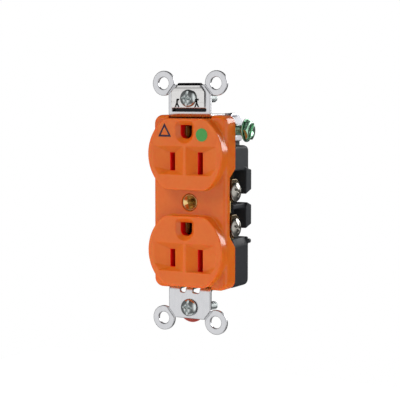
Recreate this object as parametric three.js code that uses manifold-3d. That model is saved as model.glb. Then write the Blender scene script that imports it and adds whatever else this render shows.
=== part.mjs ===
// Isolated-ground duplex receptacle: a moulded face cover and rear body held by a
// wrap-around mounting strap, with side-wired clamp terminals.
// Millimetres. The origin is the centre of the device on the strap's front plane;
// +X is to the right of someone facing it, +Y goes into the wall box, +Z is up.
// The live (hot) terminals are on -X, the neutral terminals on +X.

import * as THREE from 'three';
import { mergeVertices } from 'three/addons/utils/BufferGeometryUtils.js';
import Module from 'manifold-3d';

const wasm = await Module();
wasm.setup();

// ---------------------------------------------------------------- driving dimensions

const GAP = 0.3;                 // between pieces that touch on the real device
const THROUGH = 30;              // half length of a cutter that goes right through
const ARC_STEPS = 2;             // half the segments in a rounded corner
const ROUND_STEPS = 20;          // segments in a turned piece

// Face: two receptacle lobes, each a circle with a flat top and bottom
const LOBE = { z: 19.45, radius: 16.9, flat: 14.25, faceY: -4.25, rootY: 1, edge: 0.5 };
const FUNNEL_DEPTH = 1.9;        // lead-in recesses round the blade slots
const FLOOR_Y = LOBE.faceY + FUNNEL_DEPTH;
const SLOT = { x: 6.35, width: 2.0, hot: [-6.5, 0.5], neutral: [-7.9, 0.75] };
const FUNNEL = { top: 3.3, bottom: -8.15, inner: 0.3, outer: 14.6, outerLow: 12.6 };
const PIN = { z: 8.65, radius: 2.5, top: 11.55, mouth: 1.8, steps: 10 };

// Cover: base plate, skirt walls and the side notches that bare the terminals
const COVER = { halfX: 16.7, halfZ: 35, corner: 3.5, edge: 1.8, plateY: 1.6, ledgeY: 3.3, skirtY: 8 };
const SKIRT_WALL = 1.6;
const BOSS = { radius: 2.9, frontY: 1, holeY: 2.5 };
const HUB = { radius: 5.5, frontY: 1, rearY: 5 };
const NOTCH = { top: 10, bottom: -13.3, topSlope: 0.73, bottomSlope: 0.96, innerX: 12.4 };

// Rear body
const BODY = { halfX: 16, bottomZ: -35, shoulderZ: 22.95, topZ: 34.9, coreX: 12, rearY: 21.3 };
const BODY_FRONT_Y = COVER.skirtY + GAP;
const BODY_WALL = 1.6;
const FLOOR_OF_BODY_Y = BODY.rearY - BODY_WALL;
const BAY = { wallX: 10.7, top: 12.6, bottom: -14.9, backY: 17.7 };
const TONGUE = { halfX: 16.6, rearY: 22.5, corner: 0.8 };
const TONGUE_UPPER = { bottomZ: 2.8, rearBottomZ: 4.5, rise: 1 };
const TONGUE_LOWER = { bottomZ: -11.2, rearBottomZ: -9.75, rearTopZ: -1.6, topZ: -0.4 };
const BAY_RIB = { halfX: TONGUE.halfX - 1, bottomZ: -2.9, topZ: -0.9 };
const BODY_FOOT = { startX: 14, frontY: 20, bottomZ: -17.6, topZ: -15.8 };
const SHANK_TUNNEL_X = 5;
const CHAMBER = { midX: 9.2, endX: 14.4, endZ: 32.2 };
const SLEEVE = { radius: 4.3, frontY: 6 };
const LIP = { width: 1, bottomZ: -17.6 };        // sloped edge of the lower block's top
const LEDGE = { x: BODY.coreX - 1, rearY: 9.8, topZ: 24.1 };

// Mounting strap
const STRAP = { halfX: 9.6, thickness: 1.3, endZ: 47.1, legZ: 34, backY: 21.6 };
const BEND = { inner: 0.7, outer: 2.0 };
const EAR = { x: 12, z: 47.7, radius: 5, hole: 2.45, cutTop: 6.9, cutSide: 43.8 };
const CHANNEL = { halfX: STRAP.halfX + GAP, z: STRAP.legZ - GAP };
const MOUNT_SCREW_Z = 41.67;     // half of the 83.34 mm box-screw spacing
const MOUNT_SLOT = [
  { z: MOUNT_SCREW_Z, halfX: 3.2, radius: 2.1 },
  { z: -42.2, halfX: 3.4, radius: 2.5 },
];
const SCREW_SEAT = [
  { y: -1.0, z: MOUNT_SCREW_Z, droop: 0, washerZ: MOUNT_SCREW_Z },
  { y: -0.5, z: -42.5, droop: 6, washerZ: -42.6 },   // hangs loose, its tip down
];
const SLIT = { x: [-8, 7.6], z: [36.5, 37.7] };
const RELIEF = { x: [[-4.4, -1.8], [1.3, 4.6]], z: [-36.6, -33], rearY: 9 };
const MOUNT_SCREW = { radius: 1.75, headRadius: 3.55, headHeight: 2.0, length: 22.4, crown: 0.45 };
const RETAINER = { radius: 6.2, hole: 2.3, thickness: 0.7, rearY: [3.8, 2.45] };

// Grounding clip, folded from thin sheet over the strap's top edge
const CLIP = {
  sheet: 0.4, left: -8, right: 7.2, shoulderZ: 44.2, foldX: [-5, 4.9], frontZ: 37.9, rearZ: 36.2,
  footX: [-5.2, 3.8], footHalf: 0.2, footTopZ: 41,
};

// Bushing riveted through the middle; its front end takes the wall-plate screw
const BUSHING = {
  bore: 1.55, mouth: 2.6, tube: 2.7, flange: 3.3, flangeY: [0.3, 1.6], rivet: 4.2, rivetY: [23.2, 23.9],
};

// Terminals: a clamp screw pulls its clamp plate towards the terminal plate
const CLAMP_Z = [4.35, -9.97];
const CLAMP_Y = 7.45;
const TERMINAL = { x: 11.0, thickness: 1.0, frontY: 4.5, rearY: 15.5, topZ: 18.7, bottomZ: -24.8 };
const FIN = { x: 16.6, frontY: 3.7, bottomZ: -4.1, topZ: 1.2 };
const LINK_Y = 7.8;              // depth of the narrow link behind the fin
const CLAMP = {
  x: 15.8, thickness: 0.9, frontY: 4.9, rearY: 11.2, rise: 5.2, drop: 4.2, corner: 0.6, rearCorner: 3.2,
};
const CLAMP_SCREW = {
  radius: 2.41, headRadius: 4.1, headHeight: 1.9, length: 8, hole: 2.75, crown: 0.45,
};
const CONTACT = { x: 6.35, z: [16.4, -22.8], halfZ: 4, tailHalfZ: 1.6 };

// Ground: spine and contacts inside, bracket and green screw outside
const SPINE = { frontY: 18.0, rearY: 19.2, halfX: 3.2, topZ: 32, bottomZ: -14.2 };
const BRACKET = { inX: 12.9, outX: 14.1, frontY: 8.6, bottomZ: 24.4, topZ: 35.7, corner: 2, rearCorner: 4.5 };
const GROUND_SCREW = {
  x: 19.75, y: 12.75, z: 28.85, length: 7.6, radius: 2.08, head: 4.25, headHeight: 1.75, slot: 1.2,
};
const GROUND_WASHER = { x: 19.0, radius: 4.7, hole: 2.4, thickness: 0.5 };
const PIN_CONTACT_Z = [LOBE.z + PIN.z, PIN.z - LOBE.z];

const CORNER_SCREWS = [[12.4, -30.4], [-12.4, -30.4], [-12.4, 30.4]];
const CORNER_SCREW = {
  radius: 1.4, headRadius: 2.6, headHeight: 1.8, length: 14, seatY: 17.5, crown: 0.45,
};

// ---------------------------------------------------------------- materials

function finish(color, roughness, metalness) {
  return new THREE.MeshStandardMaterial({ color, roughness, metalness });
}

const MATERIALS = {
  orangeNylon: finish(0xe0662f, 0.4, 0),
  blackNylon: finish(0x3f4245, 0.6, 0),
  platedSteel: finish(0xc9cbcd, 0.32, 1),
  springSteel: finish(0xd8d9da, 0.28, 1),
  brass: finish(0xc9a24a, 0.35, 1),
  nickel: finish(0xcfcac0, 0.3, 1),
  greenPlate: finish(0x3f9a5c, 0.35, 1),
  zinc: finish(0xa9b3b5, 0.3, 1),
  redFibre: finish(0xa2302a, 0.8, 0),
  insulator: finish(0xd9d6cc, 0.6, 0),
};

// ---------------------------------------------------------------- solids and outlines

// A closed three.js geometry as a solid that can be joined and cut
function solid(geometry) {
  const bare = geometry.clone();
  bare.deleteAttribute('normal');
  bare.deleteAttribute('uv');
  const merged = mergeVertices(bare, 1e-4);
  const corners = merged.index.array;
  const triangles = [];
  for (let i = 0; i < corners.length; i += 3) {
    const [a, b, c] = [corners[i], corners[i + 1], corners[i + 2]];
    if (a !== b && b !== c && c !== a) triangles.push(a, b, c);
  }
  return new wasm.Manifold(new wasm.Mesh({
    numProp: 3,
    vertProperties: new Float32Array(merged.attributes.position.array),
    triVerts: new Uint32Array(triangles),
  }));
}

function toGeometry(body) {
  const mesh = body.getMesh();
  const geometry = new THREE.BufferGeometry();
  geometry.setAttribute('position', new THREE.BufferAttribute(mesh.vertProperties, 3));
  geometry.setIndex(new THREE.BufferAttribute(mesh.triVerts, 1));
  geometry.computeVertexNormals();
  return geometry;
}

function join(...bodies) {
  return bodies.reduce((whole, body) => whole.add(body));
}

function cut(body, ...tools) {
  return tools.reduce((whole, tool) => whole.subtract(tool), body);
}

// Polygon whose corners are [a, b] or, rounded, [a, b, radius]
function outline(corners) {
  const shape = new THREE.Shape();
  corners.forEach(([a, b, radius = 0], i) => {
    const here = new THREE.Vector2(a, b);
    if (radius === 0) {
      if (i === 0) shape.moveTo(a, b);
      else shape.lineTo(a, b);
      return;
    }
    const [a0, b0] = corners[(i + corners.length - 1) % corners.length];
    const [a1, b1] = corners[(i + 1) % corners.length];
    const back = new THREE.Vector2(a0, b0).sub(here).normalize();
    const ahead = new THREE.Vector2(a1, b1).sub(here).normalize();
    const half = Math.acos(back.dot(ahead)) / 2;
    const start = here.clone().addScaledVector(back, radius / Math.tan(half));
    const end = here.clone().addScaledVector(ahead, radius / Math.tan(half));
    const middle = back.clone().add(ahead).normalize();
    const centre = here.clone().addScaledVector(middle, radius / Math.sin(half));
    if (i === 0) shape.moveTo(start.x, start.y);
    else shape.lineTo(start.x, start.y);
    const from = start.clone().sub(centre).angle();
    const to = end.clone().sub(centre).angle();
    shape.absarc(centre.x, centre.y, radius, from, to, back.cross(ahead) > 0);
  });
  shape.closePath();
  return shape;
}

function rectangle(a0, a1, b0, b1, radius = 0) {
  return outline([[a0, b0, radius], [a1, b0, radius], [a1, b1, radius], [a0, b1, radius]]);
}

function circle(a, b, radius) {
  const shape = new THREE.Shape();
  for (let i = 0; i < 5; i += 1) {
    shape.absarc(a, b, radius, (2 * Math.PI * i) / 5, (2 * Math.PI * (i + 1)) / 5);
  }
  return shape;
}

// Long round-ended hole, its length along the first axis
function obround(a, b, halfLength, radius) {
  const shape = new THREE.Shape();
  shape.absarc(a + halfLength - radius, b, radius, -Math.PI / 2, Math.PI / 2);
  shape.absarc(a - halfLength + radius, b, radius, Math.PI / 2, 3 * Math.PI / 2);
  shape.closePath();
  return shape;
}

// Directions of a shape's two axes and of its push, for a push along x, y or z:
// outlines are (y, z) for x, (x, z) for y and (x, y) for z
const PUSH = {
  x: [new THREE.Vector3(0, 1, 0), new THREE.Vector3(0, 0, 1), new THREE.Vector3(1, 0, 0)],
  y: [new THREE.Vector3(1, 0, 0), new THREE.Vector3(0, 0, 1), new THREE.Vector3(0, -1, 0)],
  z: [new THREE.Vector3(1, 0, 0), new THREE.Vector3(0, 1, 0), new THREE.Vector3(0, 0, 1)],
};

// Straight bar of the given outline from one station to another, its ends' edges
// rounded by the edge radius
function bar(axis, shape, from, to, edge = 0, steps = ARC_STEPS) {
  const geometry = new THREE.ExtrudeGeometry(shape, {
    depth: to - from - 2 * edge,
    bevelEnabled: edge > 0,
    bevelThickness: edge,
    bevelSize: edge,
    bevelOffset: -edge,
    bevelSegments: 2,
    curveSegments: steps,
  });
  geometry.translate(0, 0, edge);
  geometry.applyMatrix4(new THREE.Matrix4().makeBasis(...PUSH[axis]));
  const station = axis === 'y' ? to : from;
  const shift = { x: [station, 0, 0], y: [0, station, 0], z: [0, 0, station] };
  geometry.translate(...shift[axis]);
  return solid(geometry);
}

function rod(axis, a, b, radius, from, to) {
  return bar(axis, circle(a, b, radius), from, to);
}

function box(x0, x1, y0, y1, z0, z1) {
  const geometry = new THREE.BoxGeometry(x1 - x0, y1 - y0, z1 - z0);
  geometry.translate((x0 + x1) / 2, (y0 + y1) / 2, (z0 + z1) / 2);
  return solid(geometry);
}

// A box on the given side: x0 and x1 are distances from the middle plane
function sideBox(side, x0, x1, y0, y1, z0, z1) {
  return side > 0 ? box(x0, x1, y0, y1, z0, z1) : box(-x1, -x0, y0, y1, z0, z1);
}

function sideBar(side, shape, x0, x1) {
  return side > 0 ? bar('x', shape, x0, x1) : bar('x', shape, -x1, -x0);
}

// Turned solid about an axis; the profile is [radius, station] pairs that rise
// along the outside
function turned(axis, profile) {
  const points = profile.map(([radius, station]) => new THREE.Vector2(radius, station));
  const geometry = new THREE.LatheGeometry(points, ROUND_STEPS);
  if (axis === 'x') geometry.rotateZ(-Math.PI / 2);
  if (axis === 'z') geometry.rotateX(Math.PI / 2);
  return solid(geometry);
}

// Tapered solid between two outlines with the same number of corners, both given
// as [x, z] anticlockwise seen from the front (-Y), the first at the smaller y
function taper(front, frontY, rear, rearY) {
  const count = front.length;
  const position = [];
  front.forEach(([x, z]) => position.push(x, frontY, z));
  rear.forEach(([x, z]) => position.push(x, rearY, z));
  const index = [];
  for (let i = 0; i < count; i += 1) {
    const next = (i + 1) % count;
    index.push(i, i + count, next, next, i + count, next + count);
    if (i > 0 && i < count - 1) {
      index.push(0, i, i + 1);
      index.push(count, count + i + 1, count + i);
    }
  }
  const geometry = new THREE.BufferGeometry();
  geometry.setAttribute('position', new THREE.Float32BufferAttribute(position, 3));
  geometry.setIndex(index);
  return solid(geometry);
}

// ---------------------------------------------------------------- face cover

function lobeOutline(z) {
  const shape = new THREE.Shape();
  const reach = Math.asin(LOBE.flat / LOBE.radius);
  shape.absarc(0, z, LOBE.radius, -reach, reach);
  shape.absarc(0, z, LOBE.radius, Math.PI - reach, Math.PI + reach);
  shape.closePath();
  return shape;
}

// Sloping recess that leads a blade into its slot, with the slot behind it
function bladeEntry(z, side) {
  const [low, high] = side < 0 ? SLOT.hot : SLOT.neutral;
  const [x0, x1] = [side * SLOT.x - SLOT.width / 2, side * SLOT.x + SLOT.width / 2];
  const top = z + FUNNEL.top;
  const bottom = z + FUNNEL.bottom;
  const [z0, z1] = [z + low, z + high];
  const mouth = side < 0
    ? [[-FUNNEL.outerLow, bottom], [-FUNNEL.inner, bottom], [-FUNNEL.inner, top], [-FUNNEL.outer, top]]
    : [[-FUNNEL.inner, bottom], [FUNNEL.outerLow, bottom], [FUNNEL.outer, top], [-FUNNEL.inner, top]];
  const slot = [[x0, z0], [x1, z0], [x1, z1], [x0, z1]];
  return join(
    taper(mouth, LOBE.faceY - 0.001, slot, FLOOR_Y),
    box(x0, x1, FLOOR_Y - 0.01, THROUGH, z0, z1),
  );
}

// Flat-topped, round-bottomed hole for the ground pin: its corners at one size
function pinOutline(z, spread) {
  const radius = PIN.radius + spread;
  const corners = [];
  for (let i = 0; i <= PIN.steps; i += 1) {
    const angle = Math.PI + (Math.PI * i) / PIN.steps;
    corners.push([radius * Math.cos(angle), z + PIN.z + radius * Math.sin(angle)]);
  }
  corners.push([radius, z + PIN.top + spread * 0.6], [-radius, z + PIN.top + spread * 0.6]);
  return corners;
}

function pinEntry(z) {
  const hole = pinOutline(z, 0);
  return join(
    taper(pinOutline(z, PIN.mouth), LOBE.faceY - 0.001, hole, FLOOR_Y),
    bar('y', outline(hole), FLOOR_Y - 0.01, THROUGH),
  );
}

function notchOutline() {
  const deep = THROUGH - COVER.ledgeY;
  return outline([
    [COVER.ledgeY, NOTCH.bottom],
    [COVER.ledgeY + deep, NOTCH.bottom - deep * NOTCH.bottomSlope],
    [COVER.ledgeY + deep, NOTCH.top + deep * NOTCH.topSlope],
    [COVER.ledgeY, NOTCH.top],
  ]);
}

function faceCover() {
  const { halfX, halfZ, corner, edge, plateY, skirtY } = COVER;
  const base = bar('y', rectangle(-halfX, halfX, -halfZ, halfZ, corner), 0, skirtY + edge, edge);
  let cover = base.subtract(box(-THROUGH, THROUGH, skirtY, THROUGH, -2 * halfZ, 2 * halfZ));
  for (const z of [LOBE.z, -LOBE.z]) {
    const lobe = bar('y', lobeOutline(z), LOBE.faceY, LOBE.rootY + LOBE.edge, LOBE.edge, 12);
    cover = cover.add(lobe);
  }
  const skirtX = halfX - SKIRT_WALL;
  const slope = skirtY - COVER.ledgeY;
  const upperFoot = NOTCH.top + slope * NOTCH.topSlope;
  const lowerFoot = NOTCH.bottom - slope * NOTCH.bottomSlope;
  cover = cut(
    cover,
    sideBar(1, notchOutline(), NOTCH.innerX, THROUGH),
    sideBar(-1, notchOutline(), NOTCH.innerX, THROUGH),
    box(-NOTCH.innerX, NOTCH.innerX, plateY, THROUGH, -CHAMBER.endZ, CHAMBER.endZ),
    box(-skirtX, skirtX, plateY, THROUGH, upperFoot, CHAMBER.endZ),
    box(-skirtX, skirtX, plateY, THROUGH, -CHAMBER.endZ, lowerFoot),
    box(-CHANNEL.halfX, CHANNEL.halfX, -GAP, THROUGH, CHANNEL.z, 2 * halfZ),
    box(-CHANNEL.halfX, CHANNEL.halfX, -GAP, THROUGH, -2 * halfZ, -CHANNEL.z),
  );
  cover = cover.add(rod('y', 0, 0, HUB.radius, HUB.frontY, HUB.rearY));
  for (const [x, z] of CORNER_SCREWS) {
    cover = cover.add(rod('y', x, z, BOSS.radius, BOSS.frontY, skirtY));
    cover = cover.subtract(rod('y', x, z, CORNER_SCREW.radius + GAP, BOSS.holeY, THROUGH));
  }
  cover = cut(
    cover,
    rod('y', 0, 0, BUSHING.tube + GAP, -THROUGH, THROUGH),
    rod('y', 0, 0, BUSHING.flange + GAP, -THROUGH, BUSHING.flangeY[1] + GAP),
  );
  for (const z of [LOBE.z, -LOBE.z]) {
    cover = cut(cover, bladeEntry(z, -1), bladeEntry(z, 1), pinEntry(z));
  }
  return cover;
}

// ---------------------------------------------------------------- rear body

function roundedBlock(x0, x1, z0, z1, radius) {
  const side = outline([[0, z0], [BODY.rearY, z0, radius], [BODY.rearY, z1, radius], [0, z1]]);
  const front = rectangle(x0, x1, z0, z1, 1.2);
  return bar('x', side, x0, x1).intersect(bar('y', front, BODY_FRONT_Y, THROUGH));
}

// Blocks behind a terminal bay, and the rib between its two clamps
function tongues(side) {
  const { halfX, rearY, corner } = TONGUE;
  const upper = outline([
    [BAY.backY, TONGUE_UPPER.bottomZ], [rearY, TONGUE_UPPER.rearBottomZ],
    [rearY, BAY.top, corner], [BAY.backY, BAY.top + TONGUE_UPPER.rise],
  ]);
  const lower = outline([
    [BAY.backY, TONGUE_LOWER.bottomZ], [rearY, TONGUE_LOWER.rearBottomZ],
    [rearY, TONGUE_LOWER.rearTopZ, corner], [BAY.backY, TONGUE_LOWER.topZ],
  ]);
  const rib = rectangle(BODY_FRONT_Y, BAY.backY + 1, BAY_RIB.bottomZ, BAY_RIB.topZ, 0);
  const foot = outline([
    [BODY_FOOT.frontY, BODY_FOOT.bottomZ], [rearY, BODY_FOOT.bottomZ, corner],
    [rearY, BODY_FOOT.topZ, corner], [BODY_FOOT.frontY, BODY_FOOT.topZ],
  ]);
  const start = CHANNEL.halfX;
  return join(
    sideBar(side, upper, start, halfX),
    sideBar(side, lower, start, halfX),
    sideBar(side, rib, start, BAY_RIB.halfX),
    sideBar(side, foot, BODY_FOOT.startX, halfX),
  );
}

function rearBody() {
  let body = join(
    roundedBlock(-BODY.halfX, BODY.halfX, BODY.bottomZ, BODY.shoulderZ, 3),
    roundedBlock(-BODY.halfX, BODY.coreX, 0, BODY.topZ, 3),
    box(-BAY.wallX, BAY.wallX, COVER.ledgeY + GAP, 9, BAY.bottom - BODY_WALL, BAY.top + BODY_WALL),
    box(LEDGE.x, BODY.halfX, BODY_FRONT_Y, LEDGE.rearY, BODY.shoulderZ - 1, LEDGE.topZ),
  );
  for (const side of [-1, 1]) {
    body = cut(body, sideBox(side, BAY.wallX, THROUGH, 0, THROUGH, BAY.bottom, BAY.top));
    body = body.add(tongues(side));
    const lip = outline([
      [BODY.halfX - LIP.width, BAY.bottom], [THROUGH, BAY.bottom], [BODY.halfX, LIP.bottomZ],
    ]);
    const lipBar = bar('y', lip, 0, BAY.backY);
    body = body.subtract(side > 0 ? lipBar : lipBar.mirror([1, 0, 0]));
  }
  const { midX, endX, endZ } = CHAMBER;
  const depth = FLOOR_OF_BODY_Y;
  const groundWallX = BODY.coreX - BODY_WALL;
  body = cut(
    body,
    box(-midX, midX, 0, depth, -endZ, endZ),
    box(-endX, groundWallX, 0, depth, BAY.top + BODY_WALL, endZ),
    box(-endX, endX, 0, depth, BAY.top + BODY_WALL, BODY.shoulderZ - BODY_WALL),
    box(-endX, endX, 0, depth, -endZ, BAY.bottom - BODY_WALL),
    box(-CHANNEL.halfX, CHANNEL.halfX, 0, THROUGH, CHANNEL.z, 2 * endZ),
    box(-CHANNEL.halfX, CHANNEL.halfX, 0, THROUGH, -2 * endZ, -CHANNEL.z),
    box(10.2, THROUGH, 0, THROUGH, 34.1, 2 * endZ),
  );
  body = body.add(rod('y', 0, 0, SLEEVE.radius, SLEEVE.frontY, BODY.rearY - 1));
  body = body.subtract(rod('y', 0, 0, BUSHING.tube + GAP, 0, THROUGH));
  for (const [x, z] of CORNER_SCREWS) {
    body = body.add(rod('y', x, z, BOSS.radius, BODY_FRONT_Y, BODY.rearY - 1));
    body = body.subtract(rod('y', x, z, CORNER_SCREW.radius + GAP, 0, THROUGH));
    body = body.subtract(rod('y', x, z, CORNER_SCREW.headRadius + 0.5, CORNER_SCREW.seatY, THROUGH));
  }
  for (const side of [-1, 1]) {
    const slotX = [TERMINAL.x - GAP, TERMINAL.x + TERMINAL.thickness + GAP];
    body = cut(body, sideBox(side, ...slotX, 0, TERMINAL.rearY + GAP, -endZ + 2, 20));
    for (const z of CLAMP_Z) {
      const shankHole = circle(CLAMP_Y, z, CLAMP_SCREW.hole + GAP);
      body = cut(body, sideBar(side, shankHole, SHANK_TUNNEL_X, BAY.wallX + 1));
    }
  }
  return cut(
    body,
    bar('x', circle(GROUND_SCREW.y, GROUND_SCREW.z, 3), 9, 13),
    box(9, 13, SPINE.frontY - GAP, SPINE.rearY + GAP, 25.2, endZ),
  );
}

// ---------------------------------------------------------------- mounting strap

function mountingStrap() {
  const { halfX, thickness, endZ, legZ, backY } = STRAP;
  const rearY = backY + thickness;
  const outZ = legZ + thickness;
  const side = outline([
    [0, endZ], [0, legZ, BEND.outer], [backY, legZ, BEND.inner],
    [backY, -legZ, BEND.inner], [0, -legZ, BEND.outer], [0, -endZ], [thickness, -endZ],
    [thickness, -outZ, BEND.inner], [rearY, -outZ, BEND.outer],
    [rearY, outZ, BEND.outer], [thickness, outZ, BEND.inner], [thickness, endZ],
  ]);
  let strap = bar('x', side, -halfX, halfX);
  for (const up of [1, -1]) {
    for (const right of [1, -1]) {
      const corner = outline([
        [right * EAR.cutTop, up * endZ], [right * THROUGH, up * endZ * 1.2],
        [right * halfX, up * EAR.cutSide],
      ]);
      strap = strap.subtract(bar('y', corner, -1, 2));
      strap = strap.add(rod('y', right * EAR.x, up * EAR.z, EAR.radius, 0, thickness));
      strap = strap.subtract(rod('y', right * EAR.x, up * EAR.z, EAR.hole, -1, 2));
    }
  }
  for (const { z, halfX: slotHalfX, radius } of MOUNT_SLOT) {
    strap = strap.subtract(bar('y', obround(0, z, slotHalfX, radius), -1, 2));
  }
  const reliefs = RELIEF.x.map((x) => box(...x, -1, RELIEF.rearY, ...RELIEF.z));
  return cut(
    strap,
    box(...SLIT.x, -1, 2, ...SLIT.z),
    ...reliefs,
    rod('y', 0, 0, BUSHING.tube + GAP, 20, THROUGH),
  );
}

// Spring clip folded over the strap's top edge; it bonds the screw to the strap
function groundingClip() {
  const { sheet, left, right, shoulderZ, foldX, frontZ, rearZ, footX, footHalf, footTopZ } = CLIP;
  const frontY = -GAP - sheet;
  const rearY = STRAP.thickness + GAP;
  const foldZ = STRAP.endZ + GAP;
  const panel = (bottomZ) => outline([
    [left, bottomZ], [right, bottomZ], [right, shoulderZ], [foldX[1], foldZ],
    [foldX[0], foldZ], [left, shoulderZ],
  ]);
  const fold = outline([
    [frontY, shoulderZ], [frontY, foldZ + sheet, 0.5], [rearY + sheet, foldZ + sheet, 0.5],
    [rearY + sheet, shoulderZ], [rearY, shoulderZ], [rearY, foldZ], [frontY + sheet, foldZ],
    [frontY + sheet, shoulderZ],
  ]);
  const feet = footX.map((x) => box(x - footHalf, x + footHalf, -2, 0, frontZ - 1, footTopZ));
  return cut(
    join(
      bar('y', panel(frontZ), frontY, frontY + sheet),
      bar('y', panel(rearZ), rearY, rearY + sheet),
      bar('x', fold, ...foldX),
    ),
    rod('y', 0, MOUNT_SCREW_Z, MOUNT_SLOT[0].radius, -2, 3),
    ...feet,
  );
}

// ---------------------------------------------------------------- turned pieces

function plateScrewBushing() {
  const { bore, mouth, tube, flange, flangeY, rivet, rivetY } = BUSHING;
  return turned('y', [
    [bore, flangeY[1] + 0.3], [mouth, flangeY[0]], [flange, flangeY[0]], [flange, flangeY[1]],
    [tube, flangeY[1]], [tube, rivetY[0]], [rivet, rivetY[0]], [rivet - 0.4, rivetY[1]],
    [bore, rivetY[1]], [bore, flangeY[1] + 0.3],
  ]);
}

// Screw pointing inwards along -z, its head's underside at z = 0; the crown is the
// share of the head's height at its rim
function domedScrew({ headRadius, headHeight, radius, length, crown }) {
  const point = radius * 0.75;
  const body = turned('z', [
    [0, -length], [point, -length], [radius, -length + radius - point], [radius, 0],
    [headRadius, 0], [headRadius, headHeight * crown],
    [headRadius * 0.8, headHeight * (0.33 + 0.67 * crown ** 0.4)],
    [headRadius * 0.4, headHeight], [0, headHeight],
  ]);
  const slot = headRadius * 0.13;
  const depth = headHeight * 0.45;
  const cross = headRadius * 0.55;
  return cut(
    body,
    box(-THROUGH, THROUGH, -slot, slot, headHeight - depth, THROUGH),
    box(-slot, slot, -cross, cross, headHeight - depth, THROUGH),
  );
}

// Slotted hexagon head on a plain shank
function hexScrew() {
  const { radius, length, head, headHeight } = GROUND_SCREW;
  const shank = turned('z', [
    [0, -length], [radius - 0.5, -length], [radius, -length + 0.5], [radius, 0.5], [0, 0.5],
  ]);
  const hexagon = new THREE.CylinderGeometry(head - 0.3, head, headHeight, 6);
  hexagon.rotateX(Math.PI / 2);
  hexagon.translate(0, 0, headHeight / 2);
  const slotHalf = GROUND_SCREW.slot / 2;
  const slot = box(-THROUGH, THROUGH, -slotHalf, slotHalf, headHeight / 2, THROUGH);
  return join(shank, solid(hexagon)).subtract(slot);
}

function ring(radius, hole, thickness) {
  return turned('z', [[hole, 0], [radius, 0], [radius, thickness], [hole, thickness], [hole, 0]]);
}

// ---------------------------------------------------------------- stamped conductors

// Plate behind a side's two clamps, with the break-off fin between them
function terminalPlate(side) {
  const { x, thickness, frontY, rearY, topZ, bottomZ } = TERMINAL;
  const face = outline([
    [frontY, bottomZ, 1], [rearY, bottomZ, 1], [rearY, -5.2, 1], [LINK_Y, -5.2], [LINK_Y, 0.4],
    [rearY, 0.4, 1], [rearY, topZ, 1], [frontY, topZ, 1],
  ]);
  const fin = sideBox(side, x, FIN.x, FIN.frontY, frontY, FIN.bottomZ, FIN.topZ);
  const root = sideBox(side, x, x + thickness, FIN.frontY, frontY + 0.5, FIN.bottomZ, FIN.topZ);
  let plate = join(sideBar(side, face, x, x + thickness), fin, root);
  for (const z of CLAMP_Z) {
    plate = plate.subtract(sideBar(side, circle(CLAMP_Y, z, CLAMP_SCREW.hole), 5, 17));
  }
  return plate;
}

// Clamp plate about its screw's axis, its inner face at z = 0, z outwards. Its
// shape is drawn here for a clamp turned to the right (side 1) or the left (-1)
function clampPlate(side) {
  const { thickness, corner, rearCorner } = CLAMP;
  const [front, rear] = [CLAMP.frontY - CLAMP_Y, CLAMP.rearY - CLAMP_Y];
  const [top, bottom] = [-side * CLAMP.rise, side * CLAMP.drop];
  const face = outline([
    [top, front, corner], [bottom, front, corner], [bottom, rear, rearCorner],
    [top, rear, rearCorner],
  ]);
  return cut(bar('z', face, 0, thickness), rod('z', 0, 0, CLAMP_SCREW.hole, -1, 2));
}

// Two sprung jaws on a tail that reaches out to the terminal plate, for a contact
// on the +X side, about the middle of its slot
function bladeContact() {
  const jaws = outline([
    [-1.9, 2.6], [-1.3, 2.6], [-0.65, 4.4], [-0.65, 9], [-1.2, 12], [-1.2, 14.2],
    [1.2, 14.2], [1.2, 12], [0.65, 9], [0.65, 4.4], [1.3, 2.6], [1.9, 2.6],
    [1.35, 4.6], [1.35, 9], [1.9, 12], [1.9, 15], [-1.9, 15], [-1.9, 12],
    [-1.35, 9], [-1.35, 4.6],
  ]);
  const flangeX = TERMINAL.x - GAP - CONTACT.x;
  const tail = outline([
    [1.5, 14.2], [flangeX - 0.8, 14.2], [flangeX - 0.8, 8.4], [flangeX, 8.4],
    [flangeX, 15], [1.5, 15],
  ]);
  return join(
    bar('z', jaws, -CONTACT.halfZ, CONTACT.halfZ),
    bar('z', tail, -CONTACT.tailHalfZ, CONTACT.tailHalfZ),
  );
}

// Jaws round the ground pin, seated on the spine
function pinContact() {
  const rear = SPINE.frontY - GAP;
  const jaws = outline([
    [-3.5, 2.8], [-2.8, 2.8], [-1.8, 5.4], [-1.8, 9], [-2.6, 12.5], [-2.6, rear - 0.8],
    [2.6, rear - 0.8], [2.6, 12.5], [1.8, 9], [1.8, 5.4], [2.8, 2.8], [3.5, 2.8],
    [2.6, 5.6], [2.6, 9], [3.4, 12.5], [3.4, rear], [-3.4, rear], [-3.4, 12.5],
    [-2.6, 9], [-2.6, 5.6],
  ]);
  return bar('z', jaws, -2.6, 2.6);
}

// Spine behind both ground contacts, led out to the bracket that holds the green
// screw, clear of the mounting strap
function groundStrap() {
  const { frontY, rearY, halfX, topZ, bottomZ } = SPINE;
  const { inX, outX, topZ: bracketTop, bottomZ: bracketBottom } = BRACKET;
  const bracket = outline([
    [BRACKET.frontY, bracketBottom, 1.5], [rearY, bracketBottom],
    [rearY, bracketTop, BRACKET.rearCorner], [BRACKET.frontY, bracketTop, BRACKET.corner],
  ]);
  const spine = join(
    box(-halfX, halfX, frontY, rearY, bottomZ, topZ),
    rod('y', 0, 0, 7.6, frontY, rearY),
    box(0, outX, frontY, rearY, 25.5, topZ - 0.1),
    bar('x', bracket, inX, outX),
    box(10.5, outX - 0.1, 10, 14.2, bracketTop - 1.2, bracketTop),
  );
  return cut(
    spine,
    rod('y', 0, 0, SLEEVE.radius + 0.5, 10, THROUGH),
    bar('x', circle(GROUND_SCREW.y, GROUND_SCREW.z, GROUND_WASHER.hole), 12, 15),
  );
}

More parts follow.
